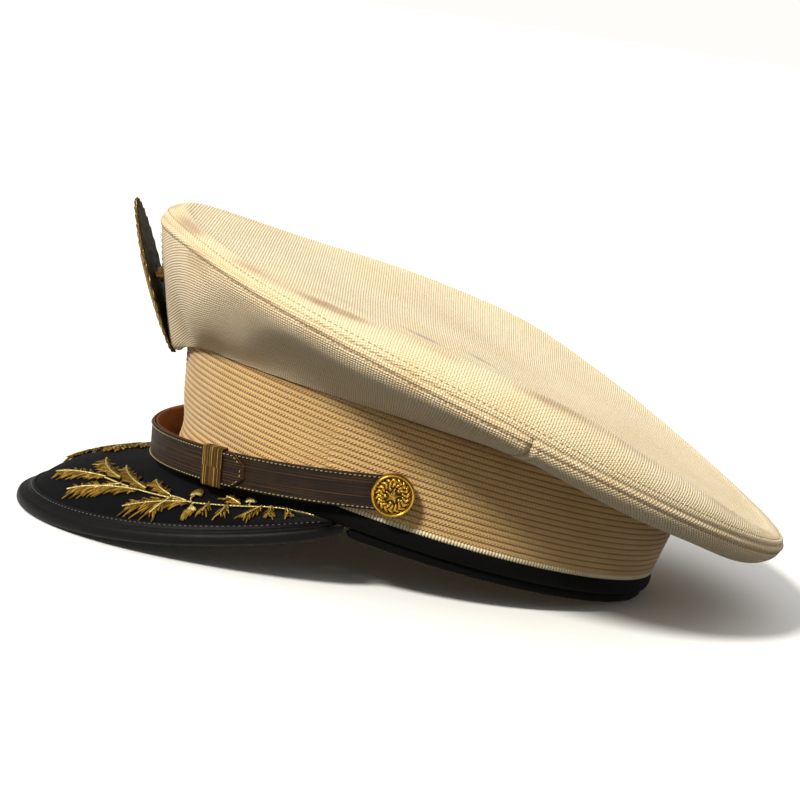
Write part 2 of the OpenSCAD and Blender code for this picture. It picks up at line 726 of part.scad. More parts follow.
// A laurel wreath, as a ring of two arcs of leaves
module badge_wreath() {
    leaf_count = 11;
    color("gold") rest_pose() badge_frame()
        for (side = [-1, 1], i = [0 : leaf_count - 1])
            let (a = 194 + 152 * i / (leaf_count - 1) + (side < 0 ? 0 : 180))
                translate([side * badge_wid * 0.33 * abs(sin(14 + 152 * i / (leaf_count - 1))),
                    -badge_high * 0.34 * cos(14 + 152 * i / (leaf_count - 1)), badge_thick])
                    rotate([0, 0, side * (62 - 152 * i / (leaf_count - 1))])
                        linear_extrude(0.9)
                            polygon([[-1, 0], [1.2, 1.9], [4.4, 1.5], [6.4, 0], [4.4, -1.5], [1.2,
                                -1.9]] * 0.5);
}

// A plain pointed shield in the middle of the wreath
module badge_shield() {
    w = badge_wid * 0.17;
    h = badge_high * 0.17;
    color("gold") rest_pose() badge_frame()
        translate([0, 0, badge_thick])
            linear_extrude(1.6)
                polygon(concat([[-w, h], [w, h]],
                    [for (a = [0 : 12 : 60]) [w * cos(a), -1.5 * h * sin(a)]], [[0, -1.6 * h]],
                    [for (a = [60 : -12 : 0]) [-w * cos(a), -1.5 * h * sin(a)]]));
}

module badge_post() {
    color("goldenrod") rest_pose() badge_frame()
        translate([0, 0, badge_nut_z - 1])
            cylinder(r = post_r - 0.02, h = badge_thick - badge_nut_z + 1, $fn = 32);
}

// A turned eyelet in the hole through the front of the crown
module badge_eyelet() {
    color("goldenrod") rest_pose() badge_frame()
        rotate_extrude($fn = 48)
            polygon([[post_r + 0.15, -4.9], [eyelet_r, -4.9], [eyelet_r, -1.2], [post_r + 0.15, -1.2]]);
}

module badge_nut() {
    color("goldenrod") rest_pose() badge_frame()
        translate([0, 0, badge_nut_z])
            difference() {
                cylinder(r = 4, h = 1.2, $fn = 48);
                translate([0, 0, -1])
                    cylinder(r = post_r, h = 4, $fn = 32);
            }
}

// ---------- setting the cap down ----------

// The cap tips forward until the visor's rim and the welt's lower edge stand on one plane
rest_foot = [band_point(180, welt_lower_z, -welt_half_thick - 0.45).y, welt_lower_z - welt_lower_half];
rest_tilt = max([for (t = steps(0, 87, 58))
    let (p = rim_point(t)) atan2(rest_foot.y - (p.z - rim_r), rest_foot.x - p.y)]);
function rest_y(y, z) = y * cos(rest_tilt) + z * sin(rest_tilt);
function rest_z(y, z) = -y * sin(rest_tilt) + z * cos(rest_tilt);
rest_front = min([for (t = steps(0, 30, 10)) rest_y(rim_point(t).y - rim_r, rim_point(t).z)]);
rest_back = max([for (p = top_points(180)) rest_y(p.y, p.z)]);
rest_low = rest_z(rest_foot.x, rest_foot.y);

module rest_pose() {
    translate([0, -(rest_front + rest_back) / 2, -rest_low])
        rotate([-rest_tilt, 0, 0])
            children();
}

band_core();
band_braid();
band_lining();
edge_cord();
welt_upper();
welt_lower();
sweatband();
sweatband_reed();
sweatband_bow();
front_stay();
crown_top();
quarter_front_left();
quarter_front_right();
quarter_rear_left();
quarter_rear_right();
crown_hoop();
hoop_ferrule();
crown_lining();
moisture_shield();
visor_board();
visor_cloth();
visor_lining();
visor_rim();
bullion_left();
bullion_right();
strap_left();
strap_right();
keeper_left();
keeper_right();
button_left();
button_right();
button_nuts();
badge_plate();
badge_wreath();
badge_shield();
badge_post();
badge_eyelet();
badge_nut();
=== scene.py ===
import json
import math

import bpy
import numpy as np
from mathutils import Matrix, Vector
from mathutils.kdtree import KDTree


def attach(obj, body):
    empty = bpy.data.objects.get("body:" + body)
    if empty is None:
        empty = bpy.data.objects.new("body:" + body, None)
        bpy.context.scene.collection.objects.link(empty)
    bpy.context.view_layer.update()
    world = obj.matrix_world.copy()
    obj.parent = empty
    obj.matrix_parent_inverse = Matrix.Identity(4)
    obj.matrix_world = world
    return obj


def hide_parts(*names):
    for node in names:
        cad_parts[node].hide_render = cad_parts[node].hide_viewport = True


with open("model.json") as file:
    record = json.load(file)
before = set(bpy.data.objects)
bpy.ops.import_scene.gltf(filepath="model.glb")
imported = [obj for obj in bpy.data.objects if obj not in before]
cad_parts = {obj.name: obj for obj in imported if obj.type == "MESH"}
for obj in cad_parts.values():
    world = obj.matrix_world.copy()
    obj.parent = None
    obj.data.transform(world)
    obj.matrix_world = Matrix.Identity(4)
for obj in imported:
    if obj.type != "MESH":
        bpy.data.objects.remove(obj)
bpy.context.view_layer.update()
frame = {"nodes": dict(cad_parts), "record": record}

# Lengths are in millimetres and angles in degrees, in the head frame: the band's lower edge is z = 0,
# the front is -Y and the wearer's left is +X. to_row() sets points down on the table, in metres.

BAND_LEN, BAND_WID, BAND_HIGH, BAND_BACK, SIDE_RISE = 202.0, 164.0, 45.0, 4.0, 7.0
FLARE_SIDE, FLARE_FRONT, FLARE_REAR = 6.0, 14.0, 7.5
LINING_OUT, LINING_IN = 2.4, 3.0
SWEAT_OUT, SWEAT_IN, SWEAT_LOW, SWEAT_TOP = 5.0, 6.0, 2.3, 40.3
BRAID_THICK, BRAID_BACK_Z = 1.2, 12.2
CORNER = math.degrees(math.acos(28.0 / 101.0))
CORD_START, WELT_HALF, WELT_Z, LAY = CORNER - 5, 3.1, 6.8, 0.1
CROWN_WID, CROWN_LEN, CROWN_BACK = 131.0, 142.7, 10.5
CLOTH = 0.8
LINING_DEPTH = 10.5
SIDE_SEAM = 97.0
VISOR_WID, VISOR_LEN, VISOR_CORNER, VISOR_DROP = 87.0, 129.0, 24.0, 40.5
RIM_R, VISOR_TOP, BOARD, VISOR_END = 2.9, 1.6, 1.6, 82.0
STRAP_WID, STRAP_THICK, STRAP_SLOPE = 14.0, 1.1, 13.5
SIDE_R, SIDE_CENTRE, FRONT_R, FRONT_CENTRE, BEND = 106.304, -18.893, 70.0, 31.0, 58.64
STRAP_TAIL, TIP_ANGLE, KEEPER_ANGLE, KEEPER_WID = 2.4, 33.5, 42.0, 11.0
PIVOT_Y, PIVOT_Z = -11.6, 22.8
BUTTON_BACK, BUTTON_R, NUT_END = 87.76, 8.5, 78.6
BADGE_Y, BADGE_Z, BADGE_LEAN, BADGE_WID, BADGE_HIGH, RAYS = -127.4, 63.0, 31.0, 46.0, 66.0, 32

mount = next(m for m in frame["record"]["mounts"] if m["name"] == "head_opening")
TILT = math.atan2(-mount["axis"][1], -mount["axis"][2])
COS_TILT, SIN_TILT = math.cos(TILT), math.sin(TILT)
MOUNT_Y, MOUNT_Z = 4.0, 2.3
SHIFT_Y = mount["pos_m"][1] * 1000 - (MOUNT_Y * COS_TILT + MOUNT_Z * SIN_TILT)
SHIFT_Z = mount["pos_m"][2] * 1000 - (-MOUNT_Y * SIN_TILT + MOUNT_Z * COS_TILT)


def to_row(p):
    """Head-frame millimetres to row-frame metres."""
    p = np.asarray(p, float)
    y = p[..., 1] * COS_TILT + p[..., 2] * SIN_TILT + SHIFT_Y
    z = -p[..., 1] * SIN_TILT + p[..., 2] * COS_TILT + SHIFT_Z
    return np.stack([p[..., 0], y, z], -1) * 0.001


def sind(a):
    return np.sin(np.radians(a))


def cosd(a):
    return np.cos(np.radians(a))


def tand(a):
    return np.tan(np.radians(a))


def lerp(a, b, u):
    return a + (b - a) * u


def waves(t, level, *sizes):
    """level plus the sizes times cos t, cos 2t and so on."""
    for k, size in enumerate(sizes, 1):
        level = level + size * cosd(k * t)
    return level


def ease(a, b, x):
    u = np.clip((x - a) / (b - a), 0, 1)
    return u * u * (3 - 2 * u)


def hill(x, width):
    return np.exp(-((x / width) ** 2))


def stack(x, y, z):
    return np.stack(np.broadcast_arrays(x, y, z), -1).astype(float)


def pairs(u, v):
    """A grid of (u, v) from a column and a row."""
    return np.stack(np.broadcast_arrays(u, v), -1)


def unit(v):
    return v / np.maximum(np.linalg.norm(v, axis=-1, keepdims=True), 1e-9)


def normals(p, wrap=False):
    """Unit normals of a grid of points, from its first direction crossed with its second."""
    if wrap:
        du = np.roll(p, -1, 0) - np.roll(p, 1, 0)
    else:
        du = np.gradient(p, axis=0)
    return unit(np.cross(du, np.gradient(p, axis=1)))


def run_length(p, axis):
    """Distance along one direction of a grid of points, from 0 at its first point."""
    step = np.linalg.norm(np.diff(p, axis=axis), axis=-1)
    start = np.zeros_like(np.take(step, [0], axis))
    return np.concatenate([start, np.cumsum(step, axis)], axis)


# ---------- mesh building ----------


class Piece:
    """Points, faces and their UVs in millimetres, gathered into one object."""

    def __init__(self):
        self.points, self.faces, self.uvs, self.marks, self.tones = [], [], [], [], []
        self.count = 0

    def add(self, points, faces, uv, mark=0, tone=0.0):
        points = points.reshape(-1, 3)
        self.points.append(points)
        self.faces.append(faces + self.count)
        self.uvs.append(uv)
        self.marks.append(mark)
        self.tones.append(np.broadcast_to(np.asarray(tone, float).reshape(-1) if np.ndim(tone) else tone, len(points)))
        self.count += len(points)

    def grid(self, p, uv, wrap=False, wrap_v=False, mark=0, tone=0.0, flip=False):
        m, n = p.shape[:2]
        i, j = np.meshgrid(np.arange(m if wrap else m - 1), np.arange(n if wrap_v else n - 1), indexing="ij")
        i, j = i.ravel(), j.ravel()
        corners = [(i, j), (i + 1, j), (i + 1, j + 1), (i, j + 1)]
        if flip:
            corners = corners[::-1]
        faces = np.stack([(a % m) * n + b % n for a, b in corners], 1)
        self.add(p, faces, np.stack([uv[a, b] for a, b in corners], 1), mark, tone)

    def cap(self, loop, flip=False, mark=0):
        """One face over a closed loop of points."""
        self.add(loop, np.arange(len(loop))[:: -1 if flip else 1][None], np.zeros((1, len(loop), 2)), mark)

    def fan(self, rim, flip=False, mark=0):
        """Triangles from a closed loop to its middle, with the view from above as their UVs."""
        points = np.concatenate([rim, rim.mean(0, keepdims=True)])
        i = np.arange(len(rim))
        faces = np.stack([i, (i + 1) % len(rim), np.full(len(rim), len(rim))], 1)[:, :: -1 if flip else 1]
        self.add(points, faces, points[faces][..., :2], mark)

    def shell(self, p, thick, uv, wrap=False, mark=0, inner=None, tone=0.0, last=True):
        """A sheet whose outer face is p.

        inner is the mark of its inner face and edges, and last adds the last edge.
        """
        inner = mark if inner is None else inner
        q = p - normals(p, wrap) * thick
        self.grid(p, uv, wrap, mark=mark, tone=tone)
        self.grid(q, uv, wrap, mark=inner, tone=tone, flip=True)
        edge_uv = np.stack([uv[:, 0], uv[:, 0] + [0, thick]], 1)
        self.grid(np.stack([q[:, 0], p[:, 0]], 1), edge_uv, wrap, mark=inner)
        if last:
            edge_uv = np.stack([uv[:, -1], uv[:, -1] + [0, thick]], 1)
            self.grid(np.stack([p[:, -1], q[:, -1]], 1), edge_uv, wrap, mark=inner)
        if not wrap:
            for k, flip in ((0, True), (-1, False)):
                edge_uv = np.stack([uv[k], uv[k] + [thick, 0]], 1)
                pair = np.stack([p[k], q[k]], 1)
                self.grid(pair, edge_uv, mark=inner, flip=not flip)

    def tubes(self, paths, up, half_side, half_up, sides, mark=0, tone=0.0):
        """Round rods along many paths (count, points, 3); up is the direction of their second half-axis."""
        s, k = paths.shape[:2]
        along = unit(np.gradient(paths, axis=1))
        side = unit(np.cross(along, np.broadcast_to(up, paths.shape)))
        over = np.cross(side, along)
        a = 2 * np.pi * np.arange(sides) / sides
        hs = np.broadcast_to(half_side, (s, k))[:, :, None, None]
        hu = np.broadcast_to(half_up, (s, k))[:, :, None, None]
        p = (paths[:, :, None] + hs * np.cos(a)[:, None] * side[:, :, None]
             + hu * np.sin(a)[:, None] * over[:, :, None])
        at = np.arange(s * k * sides).reshape(s, k, sides)
        length = np.concatenate([np.zeros((s, 1)), np.cumsum(np.linalg.norm(np.diff(paths, axis=1), axis=-1), 1)], 1)
        first, then = at[:, :-1], at[:, 1:]
        quads = np.stack([first, then, np.roll(then, -1, 2), np.roll(first, -1, 2)], -1)
        u0, u1 = length[:, :-1, None], length[:, 1:, None]
        v0 = np.arange(sides)[None, None] / sides
        u0, u1, v0 = np.broadcast_arrays(u0, u1, v0)
        v1 = v0 + 1 / sides
        uv = np.stack([np.stack(c, -1) for c in ((u0, v0), (u1, v0), (u1, v1), (u0, v1))], -2)
        base = self.count
        if np.ndim(tone):
            tone = np.broadcast_to(tone[:, None, None], (s, k, sides)).ravel()
        self.add(p, quads.reshape(-1, 4), uv.reshape(-1, 4, 2), mark, tone)
        caps = np.concatenate([at[:, 0], at[:, -1, ::-1]]) + base
        self.faces.append(caps)
        self.uvs.append(np.zeros((len(caps), sides, 2)))
        self.marks.append(mark)

    def make(self, name, looks, body, slot, replaces=(), weld=False):
        mesh = bpy.data.meshes.new(name)
        points, tones = np.concatenate(self.points), np.concatenate(self.tones)
        if weld:
            _, first, same = np.unique(np.round(points, 4), axis=0, return_index=True, return_inverse=True)
            same = same.reshape(-1)
            points, tones, self.faces = points[first], tones[first], [same[block] for block in self.faces]
        faces = [f for block in self.faces for f in block.tolist()]
        mesh.from_pydata(to_row(points).tolist(), [], faces)
        layer = mesh.uv_layers.new(name="UVMap")
        layer.data.foreach_set("uv", np.concatenate([u.reshape(-1, 2) for u in self.uvs]).astype(np.float32).ravel())
        marks = np.concatenate([np.full(len(f), m) for f, m in zip(self.faces, self.marks)])
        mesh.polygons.foreach_set("material_index", marks.astype(np.int32))
        mesh.polygons.foreach_set("use_smooth", np.full(len(faces), True))
        tone = mesh.attributes.new("tone", "FLOAT", "POINT")
        tone.data.foreach_set("value", tones.astype(np.float32))
        for look in looks:
            mesh.materials.append(look.material)
        if weld:
            mesh.validate()
            mesh.set_sharp_from_angle(angle=math.radians(50))
        mesh.update()
        obj = bpy.data.objects.new(name, mesh)
        bpy.context.scene.collection.objects.link(obj)
        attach(obj, body)
        if replaces:
            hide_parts(*replaces)
        return obj


def resample(line, pitch):
    """Points along a polyline every pitch."""
    s = np.concatenate([[0], np.cumsum(np.linalg.norm(np.diff(line, axis=0), axis=-1))])
    at = np.arange(0.0, s[-1], pitch)
    return np.stack([np.interp(at, s, line[:, c]) for c in range(line.shape[1])], 1)


def stitch_row(piece, line, normal, pitch, length, radius, mark, lift):
    """Thread stitches along a polyline that lies on a surface with these normals."""
    fine = resample(np.concatenate([line, normal], 1), pitch / 8)
    count = (len(fine) - 1) // 8
    share = length / pitch * 8
    u = np.arange(count)[:, None] * 8 + np.array([0.0, 0.25, 0.5, 0.75, 1.0]) * share
    p = np.stack([np.interp(u, np.arange(len(fine)), fine[:, c]) for c in range(6)], -1)
    up = unit(p[..., 3:])
    rise = lift + radius * np.array([-0.9, 0.25, 0.5, 0.25, -0.9])
    size = radius * np.array([0.5, 1.0, 1.0, 1.0, 0.5])
    piece.tubes(p[..., :3] + up * rise[:, None], up, size, size, 6, mark)


# ---------- materials ----------


def rgb(r, g, b):
    """Display values from 0 to 255 as a linear colour."""
    c = np.array([r, g, b]) / 255
    c = np.where(c <= 0.04045, c / 12.92, ((c + 0.055) / 1.055) ** 2.4)
    return (*c.tolist(), 1.0)


class Look:
    """A node material. u and v are the surface's own coordinates in millimetres."""

    def __init__(self, name, **fixed):
        self.material = bpy.data.materials.new(name)
        self.material.use_nodes = True
        self.tree = self.material.node_tree
        self.surface = self.tree.nodes["Principled BSDF"]
        for key, value in fixed.items():
            self.surface.inputs[key.replace("_", " ")].default_value = value
        uv = self.node("ShaderNodeUVMap", uv_map="UVMap")
        split = self.node("ShaderNodeSeparateXYZ", [uv])
        self.u, self.v = split, split.node.outputs[1]
        self.place = self.node("ShaderNodeTexCoord", out=3)
        self.tone = self.node("ShaderNodeAttribute", out=2, attribute_name="tone")

    def node(self, kind, inputs=(), out=0, **props):
        made = self.tree.nodes.new(kind)
        for key, value in props.items():
            setattr(made, key, value)
        for key, value in inputs.items() if isinstance(inputs, dict) else enumerate(inputs):
            self.put(made.inputs[key], value)
        return made.outputs[out]

    def put(self, socket, value):
        if isinstance(value, bpy.types.NodeSocket):
            self.tree.links.new(value, socket)
        else:
            socket.default_value = value

    def math(self, operation, *values):
        return self.node("ShaderNodeMath", values, operation=operation)

    def add(self, a, b):
        return self.math("ADD", a, b)

    def times(self, a, b):
        return self.math("MULTIPLY", a, b)

    def sine(self, x, pitch):
        """0.5 + 0.5 sin, with this pitch in millimetres."""
        wave = self.math("SINE", self.times(x, 2 * math.pi / pitch))
        return self.math("MULTIPLY_ADD", wave, 0.5, 0.5)

    def rib(self, x, pitch):
        """Rounded ribs: 0 in the grooves, 1 on the crests."""
        return self.math("ABSOLUTE", self.math("SINE", self.times(x, math.pi / pitch)))

    def noise(self, size, detail=3.0, rough=0.55):
        """Noise with features of this size in millimetres."""
        inputs = {"Vector": self.place, "Scale": 1000.0 / size, "Detail": detail, "Roughness": rough}
        return self.node("ShaderNodeTexNoise", inputs)

    def patches(self, low, high, *size):
        """Noise made into soft patches between these two levels."""
        return self.ramp(self.noise(*size), low, high)

    def flat_noise(self, size_u, size_v, detail=2.0):
        """Noise laid along the surface's own coordinates."""
        where = self.node("ShaderNodeCombineXYZ", [self.times(self.u, 1 / size_u), self.times(self.v, 1 / size_v)])
        return self.node("ShaderNodeTexNoise", {"Vector": where, "Scale": 1.0, "Detail": detail})

    def ramp(self, x, low, high):
        return self.node("ShaderNodeMapRange", [x, low, high, 0.0, 1.0], interpolation_type="SMOOTHSTEP")

    def span(self, x, low, high):
        """0..1 spread to low..high."""
        return self.math("MULTIPLY_ADD", x, high - low, low)

    def mix(self, factor, a, b):
        return self.node("ShaderNodeMix", {0: factor, 6: a, 7: b}, out=2, data_type="RGBA")

    def bump(self, height, depth, under=None):
        """Relief of this depth in millimetres."""
        inputs = {"Strength": 1.0, "Distance": depth * 0.001, "Height": height}
        if under is not None:
            inputs["Normal"] = under
        return self.node("ShaderNodeBump", inputs)

    def set(self, colour=None, rough=None, normal=None):
        for key, value in (("Base Color", colour), ("Roughness", rough), ("Normal", normal)):
            if value is not None:
                self.put(self.surface.inputs[key], value)
        return self


def cloth_look(name, thread, gap_shade_and_slub, aged, pitch=1.1, depth=0.3):
    """Aged basket-weave cloth: threads both ways, painted shade in the holes between them, and stains and painted
    shade where tone says.
    """
    look = Look(name, Sheen_Weight=0.25, Sheen_Roughness=0.6, Specular_IOR_Level=0.2)
    wobble = look.times(look.math("SUBTRACT", look.noise(2.6, 1.0), 0.5), 0.55)
    across, along = look.add(look.u, wobble), look.add(look.v, wobble)
    a, b = look.rib(across, pitch), look.rib(along, pitch)
    checks = look.times(look.math("SINE", look.times(across, math.pi / pitch)),
                        look.math("SINE", look.times(along, math.pi / pitch)))
    height = look.add(look.times(a, b), look.times(checks, 0.25))
    threads = look.ramp(look.times(a, b), 0.02, 0.46)
    blotch = look.patches(0.42, 0.72, 38.0, 4.0)
    light = look.mix(look.times(blotch, 0.55), thread, aged)
    slub = look.ramp(look.flat_noise(9.0, 1.1), 0.35, 0.75)
    light = look.mix(look.times(slub, 0.22), light, gap_shade_and_slub)
    # The holes between the threads take the darker colour: painted shade.
    colour = look.mix(threads, gap_shade_and_slub, light)
    # Positive tone turns the cloth a darker, warmer colour, for stains and for painted shade; negative tone greys it,
    # for smudges.
    stain_and_shade = look.times(look.ramp(look.tone, 0.0, 1.0), look.span(look.noise(9.0, 3.0), 0.35, 1.0))
    colour = look.mix(stain_and_shade, colour, rgb(146, 100, 46))
    colour = look.mix(look.times(look.ramp(look.times(look.tone, -1.0), 0.0, 1.0), 0.75), colour, rgb(104, 96, 84))
    soft = look.bump(look.noise(0.5, 2.0), 0.08)
    return look.set(colour, look.span(look.noise(6.0), 0.78, 0.95), look.bump(height, depth, soft))


def braid_look():
    """Mohair braid: every rib is plaited from slanting threads."""
    look = Look("braid_mohair", Sheen_Weight=0.3, Sheen_Roughness=0.45, Specular_IOR_Level=0.3)
    rib_phase = look.times(look.v, 1 / 2.35)
    fraction = look.math("FRACT", rib_phase)
    slant = look.times(look.math("ABSOLUTE", look.math("SUBTRACT", fraction, 0.5)), 2.2)
    plait = look.sine(look.add(look.u, slant), 1.25)
    groove = look.ramp(look.math("ABSOLUTE", look.math("SUBTRACT", fraction, 0.5)), 0.5, 0.24)
    worn = look.times(look.patches(0.4, 0.7, 30.0, 3.0), 0.5)
    base = look.mix(worn, rgb(226, 190, 128), rgb(205, 163, 98))
    colour = look.mix(look.span(plait, 0.0, 0.5), base, rgb(172, 126, 66))
    # Darker in the grooves between the ribs: painted shade.
    colour = look.mix(look.span(groove, 0.72, 0.0), colour, rgb(104, 66, 26))
    # tone makes the braid darker: painted shade just under the crown, and uneven streaks.
    colour = look.mix(look.times(look.ramp(look.tone, 0.0, 1.0), 0.7), colour, rgb(132, 90, 44))
    fibre = look.bump(look.flat_noise(0.9, 0.25), 0.12)
    return look.set(colour, look.span(look.noise(5.0), 0.6, 0.8), look.bump(plait, 0.2, fibre))


def cord_look(name, light, dark, pitch=1.3):
    look = Look(name, Sheen_Weight=0.2, Specular_IOR_Level=0.3)
    twist = look.rib(look.u, pitch)
    # Darker in the grooves of the twist and lighter on its crests: painted shade.
    colour = look.mix(look.ramp(twist, 0.1, 0.7), dark, light)
    colour = look.mix(look.times(look.patches(0.45, 0.7, 12.0), 0.5), colour, dark)
    return look.set(colour, 0.8, look.bump(twist, 0.15, look.bump(look.noise(0.4), 0.05)))


def black_cloth_look(name, tint, nap=0.3):
    look = Look(name, Sheen_Weight=0.03, Sheen_Roughness=0.4, Specular_IOR_Level=0.08)
    weave = look.sine(look.add(look.u, look.v), 0.7)
    dust = look.patches(0.62, 0.82, 3.0, 5.0, 0.7)
    colour = look.mix(look.times(dust, 0.22), tint, rgb(34, 34, 38))
    fuzz = look.bump(look.noise(0.45, 3.0, 0.7), nap)
    return look.set(colour, look.span(look.noise(8.0), 0.75, 0.95), look.bump(weave, 0.08, fuzz))


def leather_look(name, colour, worn, gloss, grain=0.9, depth=0.07):
    look = Look(name, Specular_IOR_Level=0.13)
    cells = look.node("ShaderNodeTexVoronoi", {"Vector": look.place, "Scale": 1000.0 / grain}, feature="SMOOTH_F1")
    creases = look.noise(5.0, 5.0, 0.65)
    tone = look.mix(look.times(look.ramp(creases, 0.48, 0.72), 0.5), colour, worn)
    tone = look.mix(look.times(look.ramp(look.tone, 0.0, 1.0), 0.7), tone, worn)
    return look.set(tone, look.span(look.noise(7.0, 4.0), gloss, gloss + 0.22),
                    look.bump(cells, depth, look.bump(creases, 0.12)))


def wire_look(name, bright, dark, pitch=0.42, rough=0.34):
    """Gold wire wound in a close coil, tarnished in places."""
    look = Look(name, Metallic=1.0)
    coil = look.rib(look.add(look.u, look.times(look.v, pitch)), pitch)
    tarnish = look.patches(0.4, 0.68, 4.0, 4.0)
    colour = look.mix(look.times(tarnish, 0.6), bright, dark)
    # tone darkens single wires: at random on the leaves, and as painted shade on the acorns' sides.
    colour = look.mix(look.times(look.tone, 0.75), colour, dark)
    # Nearly black between the turns of the coil: painted shade.
    colour = look.mix(look.ramp(coil, 0.45, 0.0), colour, rgb(22, 15, 5))
    return look.set(colour, look.span(tarnish, rough, rough + 0.25), look.bump(coil, 0.12))


def brass_look(name, bright, dark, rough=0.24):
    """Stamped brass: tone darkens its hollows."""
    look = Look(name, Metallic=1.0)
    tarnish = look.patches(0.45, 0.75, 3.5, 5.0, 0.7)
    colour = look.mix(look.times(tarnish, 0.55), bright, dark)
    colour = look.mix(look.ramp(look.tone, 0.0, 1.0), colour, rgb(34, 24, 10))
    scratches = look.noise(0.8, 3.0, 0.7)
    dull = look.times(look.ramp(look.tone, 0.5, 1.0), 0.4)
    return look.set(colour, look.add(look.span(tarnish, rough, rough + 0.3), dull), look.bump(scratches, 0.03))


def lace_look(name, dark, light, pitch, shine, edge):
    """Metallic lace woven in fine lines along u, with a few bright threads and black edges beyond edge mm."""
    look = Look(name, Metallic=0.1, Specular_IOR_Level=0.2)
    line = look.rib(look.v, pitch)
    thread = look.ramp(look.flat_noise(60.0, 0.5, 1.0), 0.5, 0.72)
    colour = look.mix(look.times(thread, shine), dark, light)
    # Nearly black in the grooves between the lines: painted shade.
    colour = look.mix(look.ramp(line, 0.5, 0.0), colour, rgb(14, 9, 5))
    cross = look.rib(look.u, 0.55)
    worn = look.patches(0.45, 0.7, 11.0, 4.0)
    colour = look.mix(look.times(worn, 0.3), colour, rgb(58, 38, 18))
    colour = look.mix(look.ramp(look.math("ABSOLUTE", look.v), edge - 0.25, edge + 0.1), colour, rgb(13, 10, 8))
    return look.set(colour, look.span(look.noise(4.0), 0.5, 0.7), look.bump(line, 0.14, look.bump(cross, 0.05)))


def steel_look(name, colour, rough):
    look = Look(name, Metallic=1.0)
    brushed = look.noise(1.2, 4.0, 0.7)
    tone = look.mix(look.times(look.patches(0.5, 0.75, 14.0), 0.4), colour, rgb(96, 74, 54))
    return look.set(tone, look.span(brushed, rough, rough + 0.2), look.bump(brushed, 0.03))


def board_look(name, colour):
    look = Look(name, Specular_IOR_Level=0.2)
    fibre = look.noise(1.4, 5.0, 0.7)
    return look.set(look.mix(look.ramp(fibre, 0.3, 0.7), colour, rgb(90, 76, 56)), 0.9, look.bump(fibre, 0.15))


def satin_look():
    look = Look("lining_satin", Sheen_Weight=0.4, Sheen_Roughness=0.3, Specular_IOR_Level=0.5)
    weave = look.sine(look.add(look.u, look.times(look.v, 0.6)), 0.6)
    colour = look.mix(look.patches(0.4, 0.7, 40.0, 4.0), rgb(196, 176, 128), rgb(160, 134, 84))
    slack = look.bump(look.noise(22.0), 0.8)
    return look.set(colour, look.span(look.noise(10.0), 0.38, 0.55), look.bump(weave, 0.04, slack))


def film_look():
    look = Look("shield_film", Transmission_Weight=0.55, IOR=1.4, Coat_Weight=0.5, Coat_Roughness=0.1)
    age = look.patches(0.35, 0.7, 30.0, 4.0)
    return look.set(look.mix(age, rgb(228, 214, 168), rgb(192, 164, 104)), look.span(age, 0.12, 0.3),
                    look.bump(look.noise(16.0, 3.0), 0.5))


def floor_look():
    look = Look("floor_paper", Specular_IOR_Level=0.1)
    grain = look.noise(1.5, 3.0)
    return look.set(look.mix(grain, rgb(250, 250, 250), rgb(254, 254, 254)), 0.9, look.bump(grain, 0.02))


TOP_CLOTH = cloth_look("crown_canvas", rgb(253, 240, 204), rgb(206, 172, 112), rgb(242, 218, 166))
# A copy of the top's canvas for the quarters and inner faces, with its holes and aged colour made darker: painted
# shade.
SHADED_SIDE_CLOTH = cloth_look("crown_side_canvas_shaded", rgb(253, 238, 202), rgb(188, 148, 88), rgb(238, 208, 154))
BRAID = braid_look()
PALE_CORD = cord_look("edge_cord_silk", rgb(236, 222, 186), rgb(168, 144, 98))
WELT = black_cloth_look("welt_cloth", rgb(7, 7, 7), 0.15)
WOOL = black_cloth_look("visor_wool", rgb(5, 5, 9))
RIM = leather_look("rim_leather", rgb(6, 6, 7), rgb(18, 17, 16), 0.42)
GREEN = leather_look("visor_underside", rgb(52, 66, 44), rgb(86, 92, 62), 0.38)
SWEAT = leather_look("sweatband_leather", rgb(128, 74, 34), rgb(78, 40, 18), 0.34, 1.2)
TAN = leather_look("strap_leather", rgb(150, 92, 46), rgb(106, 60, 26), 0.42)
SATIN = satin_look()
LINING = cloth_look("band_lining_cotton", rgb(206, 186, 140), rgb(150, 124, 80), rgb(180, 150, 100), 0.7, 0.15)
THREAD = cord_look("seam_thread", rgb(190, 156, 104), rgb(140, 104, 58), 0.5)
DARK_THREAD = cord_look("dark_thread", rgb(74, 60, 44), rgb(30, 22, 14), 0.5)
RIM_THREAD = cord_look("rim_thread", rgb(120, 116, 108), rgb(60, 56, 50), 0.5)
GOLD_THREAD = cord_look("strap_thread", rgb(176, 158, 92), rgb(104, 88, 40), 0.45)
BULLION = wire_look("bullion_wire", rgb(186, 150, 66), rgb(78, 56, 20), 0.5, 0.4)
STEM = wire_look("bullion_stem", rgb(238, 220, 150), rgb(170, 140, 70), 0.6, 0.3)
LACE = lace_look("strap_lace_dark", rgb(26, 16, 8), rgb(96, 66, 30), 1.15, 0.6, 5.7)
KEEPER_LACE = lace_look("keeper_lace", rgb(60, 38, 14), rgb(214, 170, 66), 1.5, 1.0, 9.0)
GILT = brass_look("gilt_brass_button", rgb(182, 144, 58), rgb(98, 72, 26))
BRONZE = brass_look("badge_bronze", rgb(150, 122, 62), rgb(50, 38, 22), 0.32)
PIN = brass_look("pin_brass", rgb(190, 150, 78), rgb(90, 66, 34), 0.35)
STEEL = steel_look("stay_steel_grey", rgb(150, 152, 154), 0.35)
HOOP = steel_look("hoop_steel_dark", rgb(104, 104, 106), 0.4)
CORE = board_look("band_board", rgb(150, 128, 92))
VISOR_BOARD = board_look("visor_fibre", rgb(46, 40, 34))
FILM = film_look()
FLOOR = floor_look()

# ---------- shapes shared with the CAD ----------


